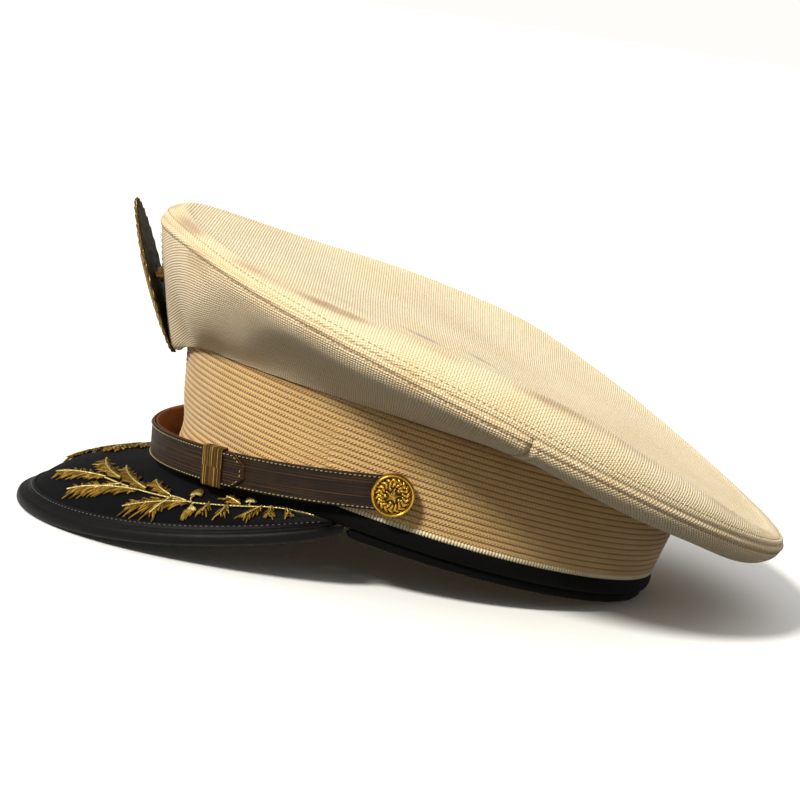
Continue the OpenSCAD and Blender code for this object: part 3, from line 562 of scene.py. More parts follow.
def band_point(t, z, d):
    """A point of the band's wall at angle t from the front, height z and distance d outside its face."""
    lean = lerp(FLARE_REAR, FLARE_FRONT, (1 + cosd(t)) / 2)
    return stack((BAND_WID / 2 + z * tand(FLARE_SIDE) + d) * sind(t),
                 BAND_BACK - (BAND_LEN / 2 + z * tand(lean) + d) * cosd(t), z)


def band_top(t):
    return BAND_HIGH + SIDE_RISE * sind(t) ** 2


def seam_z(t):
    s = np.minimum(np.abs(t) / CORNER, 1)
    return -6 + 8.9 * np.maximum(1 - cosd(90 * s), 0) ** 1.2


def signed(t):
    return (np.asarray(t) + 180) % 360 - 180


def visor_step(t):
    return seam_z(t) + VISOR_TOP + 0.35


def welt_half(t):
    return WELT_HALF * ease(CORNER - 20, CORNER - 4, np.abs(t))


def welt_mid(t):
    return np.minimum(visor_step(t) + LAY + welt_half(t), WELT_Z)


def braid_foot(t):
    return lerp(visor_step(t) + 2 * LAY + 2 * welt_half(t), BRAID_BACK_Z, ease(CORD_START - 4, CORD_START, np.abs(t)))


def ring(t, k, z, d=0.0):
    return stack((k * CROWN_WID - d) * sind(t), CROWN_BACK - (k * CROWN_LEN - d) * cosd(t), z)


def seam_height(t):
    return waves(t, 66.3, 23.9, -2.6, -0.4)


def skin_height(t, q):
    return (74.5 + 22.8 * q * cosd(t) - 6.9 * q**2 * cosd(2 * t) + 2.7 * q**3 * cosd(3 * t)
            + 1.1 * q**4 * cosd(4 * t))


def edge_share(t):
    return 0.10 - 0.04 * cosd(2 * t)


def roll_point(t, a):
    """The crown's rolled edge: a is 0 at the seam of the CAD and 90 at the ridge."""
    return ring(t, 1 - edge_share(t) * (1 - cosd(a)), lerp(seam_height(t), skin_height(t, 1), sind(a)))


def seam_turn(t):
    """How far round the roll the sewn seam lies, in degrees: a little higher in front."""
    return 4 + 22 * hill(np.abs(signed(t)) - 28, 20)


def quarter_point(t, u):
    """The quarters' section, from the band's top at u 0 to the crown's seam at u 1."""
    foot, head = band_point(t, band_top(t) + 0.2, 0.9), ring(t, 1, seam_height(t))
    low = waves(t, 43.8, 7, -8.8, -3.4) + band_top(t) - BAND_HIGH
    brow = np.maximum(cosd(t), 0)
    temple = np.where(cosd(t) > 0, sind(2 * t) ** 2 * (0.5 + 0.5 * cosd(t)), 0)
    near = waves(t, 0.29, -0.1, -0.18) - 0.13 * brow**4
    far = 1.04 - 0.48 * brow**4
    p1 = lerp(foot, head, near[..., None])
    p1[..., 2] = waves(t, low - 5.6, -4.2, -3.6) + 14 * temple
    p2 = lerp(foot, head, far[..., None])
    p2[..., 2] = waves(t, low + 1.6, 8.7, 2.2) + 5 * temple
    p3 = head - np.array([0, 0, 0.8])
    u = u[..., None]
    return (1 - u) ** 3 * foot + 3 * u * (1 - u) ** 2 * p1 + 3 * u * u * (1 - u) * p2 + u**3 * p3


CORNER_TUCK = VISOR_WID - BAND_WID / 2 * sind(CORNER) - 1.2


def rim_point(t):
    c = cosd(t)
    return stack(VISOR_WID * sind(t) - np.sign(t) * CORNER_TUCK * np.exp(-c / 0.1), -VISOR_CORNER - VISOR_LEN * c,
                 RIM_R - (VISOR_DROP + RIM_R) * (1.255 * c - 0.255 * c**3))


def seam_point(t):
    a = t * CORNER / 90
    return band_point(a, seam_z(a), -0.6)


def visor_point(t, v):
    """The visor's middle surface: v is 0 at the rim and 1 at the seam."""
    t, v = np.broadcast_arrays(np.asarray(t, float), np.asarray(v, float))
    dome = 6 * cosd(t) * sind(180 * np.maximum(v, 0) ** 0.65) ** 2
    return lerp(rim_point(t), seam_point(t), v[..., None]) + dome[..., None] * np.array([0, -0.3, 1])


def visor_grid(t, share, inset=RIM_R + 0.45):
    """share runs from 0 at the rim's roll to 1 at the seam."""
    low = np.minimum(inset / np.linalg.norm(rim_point(t) - seam_point(t), axis=-1), 0.8)
    return visor_point(t[:, None], lerp(low[:, None], 0.98, share[None]))


def own_uv(p, wrap=False):
    """Distances along a grid's middle lines, as UVs."""
    closed = np.concatenate([p, p[:1]], 0) if wrap else p
    u = run_length(closed, 0)[:, p.shape[1] // 2]
    return pairs(u[:, None], run_length(p, 1).mean(0)[None])


# ---------- the crown ----------


def soft_folds(x, y):
    """Low undulations of slack cloth."""
    return (0.35 * np.sin(x / 17 + y / 31) + 0.3 * np.sin(x / 29 - y / 13 + 1.3)
            + 0.22 * np.sin(y / 9.5 + x / 41 + 0.4))


SEAM_PITCH, STITCH_DEPTH = 2.5, 3.2


def seam_relief(s, raised):
    """Height of the cloth at distance s from a seam: a crease, its raised edge and a row of stitches."""
    return -0.45 * hill(s, 0.7) + raised * hill(s - 1.7, 1.1) - 0.3 * hill(s - 3.2, 0.45)


def rows_at(distance, s, *grids):
    """Each grid's line at this distance s along its rows."""
    return [np.array([[np.interp(distance, a, row[:, c]) for c in range(3)] for a, row in zip(s, grid)])
            for grid in grids]


def crown_top():
    t = np.arange(0, 360, 0.75)
    a = np.concatenate([[0, 0.8, 1.8, 3, 4.5, 6.5, 9], np.arange(12, 91, 6)]) / 90
    q = 1 - np.concatenate([np.array([0.008, 0.02, 0.035, 0.055]), np.linspace(0.08, 0.985, 34)])
    tt = t[:, None]
    roll = roll_point(tt, lerp(seam_turn(tt), 90, a))
    skin = ring(tt, (1 - edge_share(tt)) * q, skin_height(tt, q))
    p = np.concatenate([roll, skin], 1)
    s = run_length(p, 1)
    n = normals(p, True)
    ridge = s[:, len(a) - 1:len(a)]
    pucker = 0.1 * np.sin(2 * np.pi * own_uv(p, True)[:-1, :, 0] / SEAM_PITCH) * hill(s - 1.8, 1.5)
    slack = soft_folds(p[..., 0], p[..., 1]) * ease(2, 30, s) * 0.8
    pinch = 0.5 * hill(s - ridge + 1.0, 3.0)
    p = p + n * (seam_relief(s, 0.1) + pucker + slack + pinch)[..., None]
    out = unit(p[:, len(a) - 1, :2])[:, None]
    uv = p[:, :, :2].copy()
    uv[:, :len(a)] = p[:, len(a) - 1:len(a), :2] + out * (ridge - s[:, :len(a)])[..., None]
    uv = np.concatenate([uv, uv[:1]], 0)
    patch = 0.5 + 0.3 * np.sin(t / 7.3)[:, None] + 0.25 * np.sin(t / 3.1 + 1)[:, None]
    left_front = 0.35 + 0.65 * ease(-40, 90, 90 - np.abs(signed(tt) - 45))
    tone = 1.1 * hill(s - ridge + 4.5, 4.0) * np.clip(patch, 0, 1) * left_front
    x, y = p[..., 0], p[..., 1]
    for cx, cy, sx, sy, depth in CROWN_MARKS:
        tone = tone + depth * np.exp(-(((x - cx) / sx) ** 2) - ((y - cy) / sy) ** 2)
    # Darker along the seam crease: painted shade.
    tone = tone + 0.35 * hill(s, 1.2)
    piece = Piece()
    piece.shell(p, CLOTH, uv, wrap=True, inner=1, tone=tone, last=False)
    piece.fan(p[:, -1])
    piece.fan((p - normals(p, True) * CLOTH)[:, -1], True, 1)
    obj = piece.make("crown_top_cloth", [TOP_CLOTH, SHADED_SIDE_CLOTH], "cap", "crown_cloth", ["crown_top"], weld=True)
    thread = Piece()
    line, normal = (np.concatenate([row, row[:1]]) for row in rows_at(STITCH_DEPTH, s, p, n))
    stitch_row(thread, line, normal, SEAM_PITCH, 1.7, 0.2, 0, 0.02)
    stitches = thread.make("crown_top_stitches", [THREAD], "cap", "crown_cloth")


CROWN_MARKS = [
    (15, -125, 9, 5, -0.5), (60, -18, 7, 9, -0.7), (40, 8, 5, 8, -0.65), (86, -8, 8, 4, -0.45), (90, 4, 10, 6, 0.45),
    (70, -50, 12, 18, 0.3), (95, 45, 16, 20, 0.35), (60, 95, 25, 22, 0.4), (20, 60, 30, 25, 0.25),
    (-40, 0, 30, 30, 0.3),
]


def quarter(name, node, t0, t1, turn):
    t = np.linspace(t0 + 0.04, t1 - 0.04, 150)
    u = np.concatenate([np.linspace(0, 0.9, 40), np.linspace(0.91, 0.985, 12), [0.99, 0.994, 0.997, 1.0]])
    tt, uu = np.broadcast_arrays(t[:, None], u[None])
    p = quarter_point(tt, uu)
    p[..., 2] += 0.72 * ease(0.88, 1, uu)
    rise = np.array([0.25, 0.5, 0.7, 0.85, 0.94, 1.0])
    p = np.concatenate([p, roll_point(t[:, None], seam_turn(t)[:, None] * rise)], 1)
    tt, uu = np.broadcast_arrays(t[:, None], np.append(u, [1.0] * len(rise))[None])
    n = normals(p)
    s = run_length(p, 1)
    from_seam = s[:, -1:] - s
    along = run_length(p, 0)
    from_ends = np.minimum(along, along[-1:] - along)
    front = np.maximum(cosd(tt), 0)
    wave = 1.1 * np.sin(tt / 5.2 + uu * 3.0) + 0.8 * np.sin(tt / 3.1 - uu * 4.0 + 0.6)
    folds = front**2 * wave * sind(180 * uu) ** 1.2
    swell = 0.5 * np.sin(np.radians(tt) * 9 + 4 * uu) * sind(180 * uu)
    soft = (folds + swell) * ease(0, 12, from_seam) * ease(0, 10, from_ends)
    edge = -0.9 * hill(from_ends, 0.9) + 0.15 * hill(from_ends - 2, 1.2)
    pucker = 0.12 * np.sin(2 * np.pi * along / SEAM_PITCH) * hill(from_seam - 2.2, 1.2)
    p = p + n * (soft + edge + seam_relief(from_seam, 0.45) + pucker)[..., None]
    turned = math.radians(turn)
    phase = along[:, 30:31]
    c, d = math.cos(turned), math.sin(turned)
    uv = np.stack([phase * c + s * d, s * c - phase * d], -1)
    # Darker in the seam crease, along the stitch row and at the side seams: painted shade in these creases.
    tone = 0.3 * hill(from_seam, 1.0) + 0.35 * hill(from_seam - 2.6, 1.2) + 0.3 * hill(from_ends, 1.0)
    marks = np.clip(np.sin(tt / 2.3) + np.sin(tt / 5.1 + 2), 0, 1)
    tone = tone + 0.45 * front * marks * hill(from_seam - 6, 5)
    # Darker in the troughs of the front folds: painted shade.
    tone = tone + 0.3 * front**2 * np.clip(np.sin(tt / 5.2 + uu * 3.0 + math.pi), 0, 1) * sind(180 * uu)
    piece = Piece()
    piece.shell(p, CLOTH, uv, tone=tone)
    obj = piece.make(name, [SHADED_SIDE_CLOTH], "cap", "crown_cloth", [node], weld=True)
    thread = Piece()
    lines = [rows_at(-STITCH_DEPTH, -from_seam, p, n)]
    to_stitch, half = np.abs(from_ends[:, 30] - 2.2), len(t) // 2
    for k in (np.argmin(to_stitch[:half]), half + np.argmin(to_stitch[half:])):
        lines.append((p[k, 2:-8], n[k, 2:-8]))
    for line, normal in lines:
        stitch_row(thread, line, normal, SEAM_PITCH, 1.7, 0.2, 0, 0.02)
    stitches = thread.make(name + "_stitches", [THREAD], "cap", "crown_cloth")


def crown_lining():
    t = np.arange(0, 360, 2.0)
    tt = t[:, None]
    w, low = edge_share(tt), seam_height(tt) - 1
    high = skin_height(tt, 1) - 5
    foot, head = band_point(t, band_top(t) + 1.2, -LINING_IN - 1), ring(t, 1, seam_height(t) - 1, LINING_DEPTH)
    back = np.maximum(-cosd(t), 0)[:, None] * np.array([0, 0, 1.0])
    c1, c2 = lerp(foot, head, 0.33) + 3 * back, lerp(foot, head, 0.67) + 2 * back
    rows = []
    for u in np.linspace(0, 0.94, 10):
        rows.append((1 - u) ** 3 * foot + 3 * u * (1 - u) ** 2 * c1 + 3 * u * u * (1 - u) * c2 + u**3 * head)
    side = np.stack(rows, 1)
    a = np.array([0, 20, 40, 60, 80])
    roll = ring(tt, 1 - w * (1 - cosd(a)), lerp(low, high, sind(a)), LINING_DEPTH)
    q = np.linspace(0.9, 0.02, 16)
    skin = ring(tt, (1 - w) * q, skin_height(tt, q) - 5)
    p = np.concatenate([side, roll, skin], 1)
    n = normals(p, True)
    s = run_length(p, 1)
    gather = 0.3 * np.sin(np.radians(tt) * 48) * hill(s, 14) * ease(0, 3, s)
    p = p + n * (gather - np.abs(soft_folds(p[..., 0], p[..., 1])) * 0.6 * ease(6, 30, s))[..., None]
    piece = Piece()
    piece.shell(p, 0.5, own_uv(p, True), wrap=True, last=False)
    piece.fan(p[:, -1])
    piece.fan((p - normals(p, True) * 0.5)[:, -1], True)
    obj = piece.make("crown_lining_satin", [SATIN], "cap", "lining_cloth", ["crown_lining"], weld=True)


# ---------- the band ----------


def band_braid():
    t = np.arange(0, 360, 1.6)
    tt = signed(t)[:, None]
    v = np.linspace(0, 1, 200)[None]
    foot = braid_foot(tt)
    z = lerp(foot, band_top(tt), v)
    pitch = 2.35
    phase = np.abs(np.sin(np.pi * z / pitch))
    ribs = 0.62 * (np.sqrt(phase) - 1)
    front = ease(62, 20, np.abs(tt))
    kick = front * (2.4 * hill((z - foot) / 7.0, 1.0) - 0.9 * hill(z - foot - 15, 6.0))
    wander = 0.25 * np.sin(np.radians(tt) * 5 + z / 9) * front
    p = band_point(np.broadcast_to(tt, z.shape), z, 0.15 + ribs + kick + wander)
    u = np.radians(t)[:, None] * (BAND_LEN + BAND_WID) / 4 + 0 * z
    uv = np.stack([np.concatenate([u, u[-1:] + (u[1:2] - u[:1])]), np.concatenate([z, z[:1]])], -1)
    # Darker just under the crown's edge: painted shade of the crown's overhang. The sine term adds uneven streaks.
    tone = 0.6 * hill(band_top(tt) - z, 2.0) + 0.25 * np.clip(np.sin(np.radians(tt) * 7 + z / 6), 0, 1)
    piece = Piece()
    piece.shell(p, BRAID_THICK, uv, wrap=True, tone=tone)
    obj = piece.make("band_braid_ribbed", [BRAID], "cap", "braid", ["band_braid"], weld=True)


def band_shell(z0, z1, d0, d1, folds=0.0):
    t = np.arange(0, 360, 2.0)
    low, high = np.broadcast_to(z0, t.shape)[:, None], np.broadcast_to(z1, t.shape)[:, None]
    z = lerp(low, high, np.linspace(0, 1, 14)[None])
    wave = folds * np.sin(np.radians(t[:, None]) * 11 + z / 8) * sind(180 * (z - low) / (high - low))
    p = band_point(np.broadcast_to(t[:, None], z.shape), z, -d0 + wave)
    piece = Piece()
    piece.shell(p, d1 - d0, own_uv(p, True), wrap=True, tone=0.6 * hill(z - low, 2.5))
    return piece, p


def band_inside():
    piece, p = band_shell(4.0, band_top(np.arange(0, 360, 2.0)) - 0.6, LINING_OUT, LINING_IN)
    obj = piece.make("band_lining_cotton", [LINING], "cap", "lining_cloth", ["band_lining"], weld=True)
    piece, p = band_shell(SWEAT_LOW, SWEAT_TOP, SWEAT_OUT, SWEAT_IN, 0.35)
    n = normals(p, True)
    inner = p - n * (SWEAT_IN - SWEAT_OUT)
    for row in (1, 12):
        line = np.concatenate([inner[:, row], inner[:1, row]])
        normal = -np.concatenate([n[:, row], n[:1, row]])
        stitch_row(piece, line, normal, 3.2, 2.2, 0.22, 1, 0.03)
    piece.make("sweatband_hide", [SWEAT, DARK_THREAD], "cap", "tan_leather", ["sweatband"])


def band_roll(name, look, slot, node, first, z, d, half_out, half_up, step, sides, ridges=0.0):
    t = np.arange(first, 360 - first, step)
    path = band_point(t, z(signed(t)) if callable(z) else np.full(len(t), z), d)
    half_up = half_up(signed(t)) if callable(half_up) else half_up
    s = run_length(path[:, None], 0)[:, 0]
    swell = 1 + ridges * (np.abs(np.sin(np.pi * s / 1.3)) - 0.5)
    swell = swell * np.minimum(1, np.sqrt(np.minimum(s, s[-1] - s) / 2 + 0.02))
    piece = Piece()
    piece.tubes(path[None], np.array([0, 0, 1.0]), (half_out * swell)[None], (half_up * swell)[None], sides)
    piece.make(name, [look], "cap", slot, [node])


def visor_seam_strip():
    t = np.arange(-72, 72.1, 1.0)
    path = band_point(t, braid_foot(t) + 1.3, 0.9 + 2.3 * ease(62, 20, np.abs(t)))
    taper = ease(72, 66, np.abs(t)) * 0.9 + 0.1
    piece = Piece()
    piece.tubes(path[None], np.array([0, 0, 1.0]), (0.7 * taper)[None], (2.3 * taper)[None], 16)
    piece.make("visor_seam_strip", [WELT], "cap", "black_leather")


# ---------- the visor ----------


def visor_sheets():
    t = np.linspace(-87.5, 87.5, 200)
    share = np.linspace(0, 1, 46)
    middle = visor_grid(t, share)
    n = normals(middle)
    for name, look, slot, node, top, thick in (
            ("visor_wool_top", WOOL, "visor_black", "visor_cloth", VISOR_TOP, 0.7),
            ("visor_green_underside", GREEN, "green_leather", "visor_lining", -BOARD / 2 - 0.1, 0.7)):
        p = middle + n * top
        piece = Piece()
        piece.shell(p, thick, own_uv(p))
        if node == "visor_lining":
            edge = middle + n * (top - thick)
            stitch_row(piece, edge[2:-2, 3], -n[2:-2, 3], 2.6, 1.7, 0.2, 1, 0.03)
            piece.make(name, [look, DARK_THREAD], "cap", slot, [node])
        else:
            obj = piece.make(name, [look], "cap", slot, [node], weld=True)


def visor_rim():
    t = np.linspace(-89.5, 89.5, 330)
    path = rim_point(t)
    level = unit(stack(sind(t) * VISOR_LEN, -cosd(t) * VISOR_WID, 0 * t))
    a = np.radians(np.arange(0, 360, 12))
    squared = 1 / np.maximum(np.abs(np.cos(a)), np.abs(np.sin(a))) ** 0.35
    bead = RIM_R * np.minimum(squared, 1.06) * (1 - 0.45 * ease(85, 89.5, np.abs(t)))[:, None]
    section = path[:, None] + bead[..., None] * (
        np.cos(a)[None, :, None] * level[:, None] + np.sin(a)[None, :, None] * np.array([0, 0, 1.0]))
    piece = Piece()
    uv = own_uv(section)
    uv = np.concatenate([uv, uv[:, :1] + [0, 2 * math.pi * RIM_R]], 1)
    piece.grid(section, uv, wrap_v=True)
    piece.cap(section[0])
    piece.cap(section[-1], True)
    low = np.minimum(RIM_R * 0.35 / np.linalg.norm(rim_point(t) - seam_point(t), axis=-1), 0.3)
    lip = np.minimum((RIM_R + 3.0) / np.linalg.norm(rim_point(t) - seam_point(t), axis=-1), 0.75)
    share = np.linspace(0, 1, 9)
    taper = np.abs(t) < 87.5
    tl, low, lip = t[taper], low[taper], lip[taper]
    p = visor_point(tl[:, None], lerp(low[:, None], lip[:, None], share[None]))
    n = normals(p)
    height = VISOR_TOP + 0.75 + 0.35 * hill(share - 0.12, 0.2) - 0.25 * hill(share - 0.42, 0.08)
    height = height - 0.3 * ease(0.85, 1, share)
    top = p + n * height[None, :, None]
    piece.shell(top, 0.7, own_uv(top), tone=0.5 * hill(share - 0.12, 0.1)[None] * np.ones((len(tl), 1)))
    line, normal = top[3:-3, 6], n[3:-3, 6]
    stitch_row(piece, line, normal, 2.2, 1.0, 0.16, 1, 0.02)
    bottom = visor_point(tl[:, None], lerp(low[:, None], lip[:, None] * 1.25, share[None]))
    nb = normals(bottom)
    under = bottom - nb * (VISOR_TOP + 0.1)
    piece.shell(under, 0.6, own_uv(under))
    piece.make("visor_binding", [RIM, RIM_THREAD], "cap", "black_leather", ["visor_rim"])


def visor_top_finder():
    """Gives points over the visor's cloth for places seen from above, with the cloth's normals."""
    t = np.linspace(-VISOR_END, VISOR_END, 360)
    p = visor_grid(t, np.linspace(0, 1, 110))
    n = normals(p)
    p = (p + n * VISOR_TOP).reshape(-1, 3)
    n = n.reshape(-1, 3)
    tree = KDTree(len(p))
    for i, q in enumerate(p):
        tree.insert((q[0], q[1], 0), i)
    tree.balance()

    def find(xy):
        flat = xy.reshape(-1, 2)
        near = np.array([tree.find((x, y, 0))[1] for x, y in flat])
        base, m = p[near], n[near]
        d = flat - base[:, :2]
        z = base[:, 2] - (d[:, 0] * m[:, 0] + d[:, 1] * m[:, 1]) / m[:, 2]
        points = np.concatenate([flat, z[:, None]], 1)
        return points.reshape(*xy.shape[:-1], 3), m.reshape(*xy.shape[:-1], 3)

    return find


# Leaves: base, tip, half width, bow of the midrib and whether it is beaded. Acorns: middle, direction, half length.
LEAVES = [
    ((35, -120.5), (16, -140), 4.0, 0.02, True), ((51, -106), (37, -132), 4.6, -0.02, True),
    ((64.5, -84), (59.5, -108), 4.4, 0.0, True), ((37.5, -114.5), (11, -123.5), 4.3, 0.14, False),
    ((50, -103), (24, -114), 4.3, 0.14, False), ((57, -93), (42, -100), 3.8, 0.14, False),
    ((69.5, -57), (76.6, -62.5), 2.8, 0.0, True), ((70, -53.5), (76.4, -53.8), 2.2, 0.08, False),
    ((72, -47.5), (76, -46.4), 1.8, 0.08, False), ((67.5, -70), (73.8, -71.6), 2.4, 0.08, False),
    ((65.5, -77), (71.6, -78.6), 2.4, 0.08, False), ((68, -65), (61, -71), 2.8, -0.08, False),
    ((44, -113), (43, -122), 3.0, 0.05, False), ((60, -92), (66.5, -97.5), 3.0, 0.05, False),
]
STEMS = [
    [(75.5, -37), (74, -41), (72, -46.5), (69.8, -54), (69, -61), (67.5, -71), (65.7, -79), (64.3, -84)],
    [(64.3, -84), (60, -91), (57, -96), (51, -104.5), (43.5, -113), (35, -120.5)],
    [(64.3, -84), (60.5, -88), (57, -93)], [(64.3, -84), (60.5, -84.5), (57.8, -83.5)],
    [(69, -62), (67.2, -62), (66, -61.7)], [(65, -83), (67.2, -83.6), (68.8, -83.4)],
]
ACORNS = [((55.4, -82.8), (-1.0, 0.15), 3.3), ((63.6, -61.6), (-1.0, 0.2), 3.0), ((70.3, -83.6), (0.8, -0.5), 2.8)]


def smooth_line(points, count):
    """A Catmull-Rom curve through the points."""
    p = np.array(points, float)
    p = np.concatenate([2 * p[:1] - p[1:2], p, 2 * p[-1:] - p[-2:-1]])
    u = np.linspace(0, len(points) - 1 - 1e-6, count)
    i = u.astype(int)
    f = (u - i)[:, None]
    a, b, c, d = p[i], p[i + 1], p[i + 2], p[i + 3]
    return 0.5 * (2 * b + (c - a) * f + (2 * a - 5 * b + 4 * c - d) * f**2 + (3 * b - a - 3 * c + d) * f**3)


def embroidery(side, find):
    piece = Piece()
    mirror = np.array([side, 1.0])
    bend = np.linspace(0, 1, 7)
    arch = np.array([0.1, 0.7, 1.05, 1.15, 1.0, 0.7, 0.15])
    size = np.array([0.6, 0.95, 1.0, 1.0, 1.0, 0.9, 0.55])

    def rods(xy, height, radius, mark, shape=size, tone=0.0):
        p, n = find(xy * mirror)
        piece.tubes(p + n * (height * np.ones(xy.shape[:-1]))[..., None], n, radius * shape, radius * shape, 6,
                    mark=mark, tone=tone)

    def bead_string(line, height, radius, beaded):
        fine = resample(line, 0.22)
        s = np.arange(len(fine)) * 0.22
        shape = 0.78 + 0.34 * np.abs(np.sin(math.pi * s / 0.95)) if beaded else np.ones(len(fine))
        rods(fine[None], height, radius, 1, shape, np.zeros(1))

    for index, (base, tip, half, bow, beaded) in enumerate(LEAVES):
        base, tip = np.array(base, float), np.array(tip, float)
        long = np.linalg.norm(tip - base)
        ahead = (tip - base) / long
        left = np.array([-ahead[1], ahead[0]])

        def rib(s):
            return base + s[:, None] * long * ahead + (bow * long * 2 * s * (1 - s))[:, None] * left

        for layer, (pitch, share, rise) in enumerate(((1.16, 1.0, 0.0), (1.9, 0.55, 0.45))):
            s = np.arange(0.03 + 0.3 * layer / long, 0.97, pitch / long)
            lobes = 0.74 + 0.3 * np.sin(2 * math.pi * s * max(2, round(long / 7.5)) - 0.6)
            reach = half * np.sin(math.pi * np.clip(s, 0, 1) ** 0.8) ** 0.55 * lobes * share + 0.7
            for hand in (-1, 1):
                angle = np.radians(36 + 9 * np.sin(2.3 * np.arange(len(s)) + index + hand))
                way = np.cos(angle)[:, None] * ahead + hand * np.sin(angle)[:, None] * left
                far = (reach / np.sin(angle))[:, None, None] * 0.9
                line = rib(s)[:, None] + way[:, None] * bend[None, :, None] * far
                line = line + ahead * (bend**2)[None, :, None] * 0.1 * reach[:, None, None]
                shade = 0.5 + 0.5 * np.sin(1.9 * np.arange(len(s)) + 2.1 * index + 3 * hand + 1.3 * layer)
                rods(line, 0.25 + arch[None] * (0.55 + rise), 0.43 - 0.05 * layer, 0, tone=shade)
        bead_string(rib(np.linspace(-0.02, 1.04, 40)), 1.55, 0.34 if beaded else 0.4, beaded)
    for stem in STEMS:
        bead_string(smooth_line(stem, 14 * len(stem)), 0.95, 0.42, True)
    for middle, way, half in ACORNS:
        middle, way = np.array(middle, float), np.array(way, float)
        way = way / np.linalg.norm(way)
        over = np.array([-way[1], way[0]])
        for k in np.linspace(-1, 1, 7):
            reach = half * math.sqrt(max(1 - 0.85 * k * k, 0.05))
            line = middle + way * (bend * 1.9 - 0.7)[:, None] * reach + over * k * half * 0.6
            rise = 0.35 + arch[None] * 0.9 * math.sqrt(1 - 0.7 * k * k)
            # The outer wires are darker by tone: painted shade on the acorn's rounded sides.
            rods(line[None], rise, 0.42, 0, tone=np.array([abs(k) * 0.5]))
        for k in np.linspace(0, 1, 4):
            c = middle - way * half * (0.75 - 0.42 * k)
            line = c + over * ((bend * 2 - 1) * half * (0.6 + 0.14 * math.sin(math.pi * k)))[:, None]
            rods(line[None], 0.5 + arch[None] * 0.95, 0.42, 1, tone=np.zeros(1))
    name, node = ("embroidery_left", "bullion_left") if side > 0 else ("embroidery_right", "bullion_right")
    piece.make(name, [BULLION, STEM], "cap", "bullion", [node])


# ---------- the chin strap ----------


def strap_frame(p):
    """The strap's own frame, with its post at the origin's height, to the head frame."""
    x, y, z = -p[..., 0], -p[..., 1], p[..., 2]
    c, s = cosd(STRAP_SLOPE), sind(STRAP_SLOPE)
    return np.stack([x, y * c - z * s + PIVOT_Y, y * s + z * c + PIVOT_Z], -1)


def strap_point(a, d, z):
    """A point of the strap at angle a along its path, depth d inside its outer face and height z."""
    a, d, z = np.broadcast_arrays(np.asarray(a, float), d, z)
    near, far = a <= BEND, a > 180 - BEND
    r = np.where(near | far, SIDE_R, FRONT_R) - d
    cx = np.where(near, SIDE_CENTRE, np.where(far, -SIDE_CENTRE, 0))
    cy = np.where(near | far, 0, FRONT_CENTRE)
    return np.stack([cx + r * cosd(a), cy + r * sind(a), z], -1)


def strap_half(name, node, side, depth_out, slot):
    """One half of the strap: a strip of lace on leather, from its post to its pointed end."""
    end = 180 - TIP_ANGLE
    a = np.concatenate([np.linspace(-STRAP_TAIL, 176 - TIP_ANGLE, 230), np.linspace(176.3 - TIP_ANGLE, end, 26)])
    mid = strap_point(a, depth_out, 0.0)
    s = run_length(mid[:, None], 0)[:, 0]
    left = s[-1] - s
    half = STRAP_WID / 2 - 5.04 * np.clip((5.6 - left) / 6.6, 0, 1)
    tail = np.clip(s / 2.0, 0, 1)
    half = half - (1 - np.sqrt(1 - (1 - tail) ** 2)) * 3.0
    w = np.linspace(-1, 1, 57)
    edge = 1 - ease(0.9, 1.0, np.abs(w))
    rib = 0.10 * np.abs(np.sin(math.pi * w * STRAP_WID / 2 / 1.15)) * edge
    ridge = 0.14 * hill(np.abs(w) - 0.88, 0.05)
    face = depth_out + 0.16 - rib - ridge + 0.4 * ease(0.94, 1.0, np.abs(w))
    outer = strap_point(a[:, None], face[None], w[None] * half[:, None])
    wi = np.linspace(1, -1, 9)
    back = depth_out + STRAP_THICK - 0.15 * ease(0.7, 1.0, np.abs(wi))
    inner = strap_point(a[:, None], back[None], wi[None] * half[:, None])

    def place(p):
        p = p.copy()
        if side < 0:
            p[..., 0] *= -1
        return strap_frame(p)

    flip = side > 0
    piece = Piece()
    loop = np.concatenate([outer, inner], 1)
    z = np.concatenate([w[None] * half[:, None], wi[None] * half[:, None]], 1)
    uv = np.stack([np.broadcast_to(s[:, None], z.shape), z], -1)
    k = len(w)
    piece.grid(place(loop[:, :k]), uv[:, :k], mark=0, flip=flip)
    back_uv = np.concatenate([uv[:, k - 1:], uv[:, :1]], 1)
    back_grid = np.concatenate([loop[:, k - 1:], loop[:, :1]], 1)
    piece.grid(place(back_grid), back_uv, mark=1, flip=flip)
    piece.cap(place(loop[0]), not flip, 1)
    piece.cap(place(loop[-1]), flip, 1)

    def sew(at, high):
        p, q = place(strap_point(at, depth_out, high)), place(strap_point(at, depth_out + 5, high))
        stitch_row(piece, p, unit(p - q), 1.9, 1.25, 0.24, 2, 0.02)

    keep = (s > 9) & (left > 1.6)
    for hand in (-1, 1):
        sew(a[keep], hand * (half[keep] - 0.95))
    sew(np.full(7, a[-1] - 0.75), np.linspace(-1, 1, 7) * (half[-1] - 0.6))
    piece.make(name, [LACE, TAN, GOLD_THREAD], "chin_strap", slot, [node])


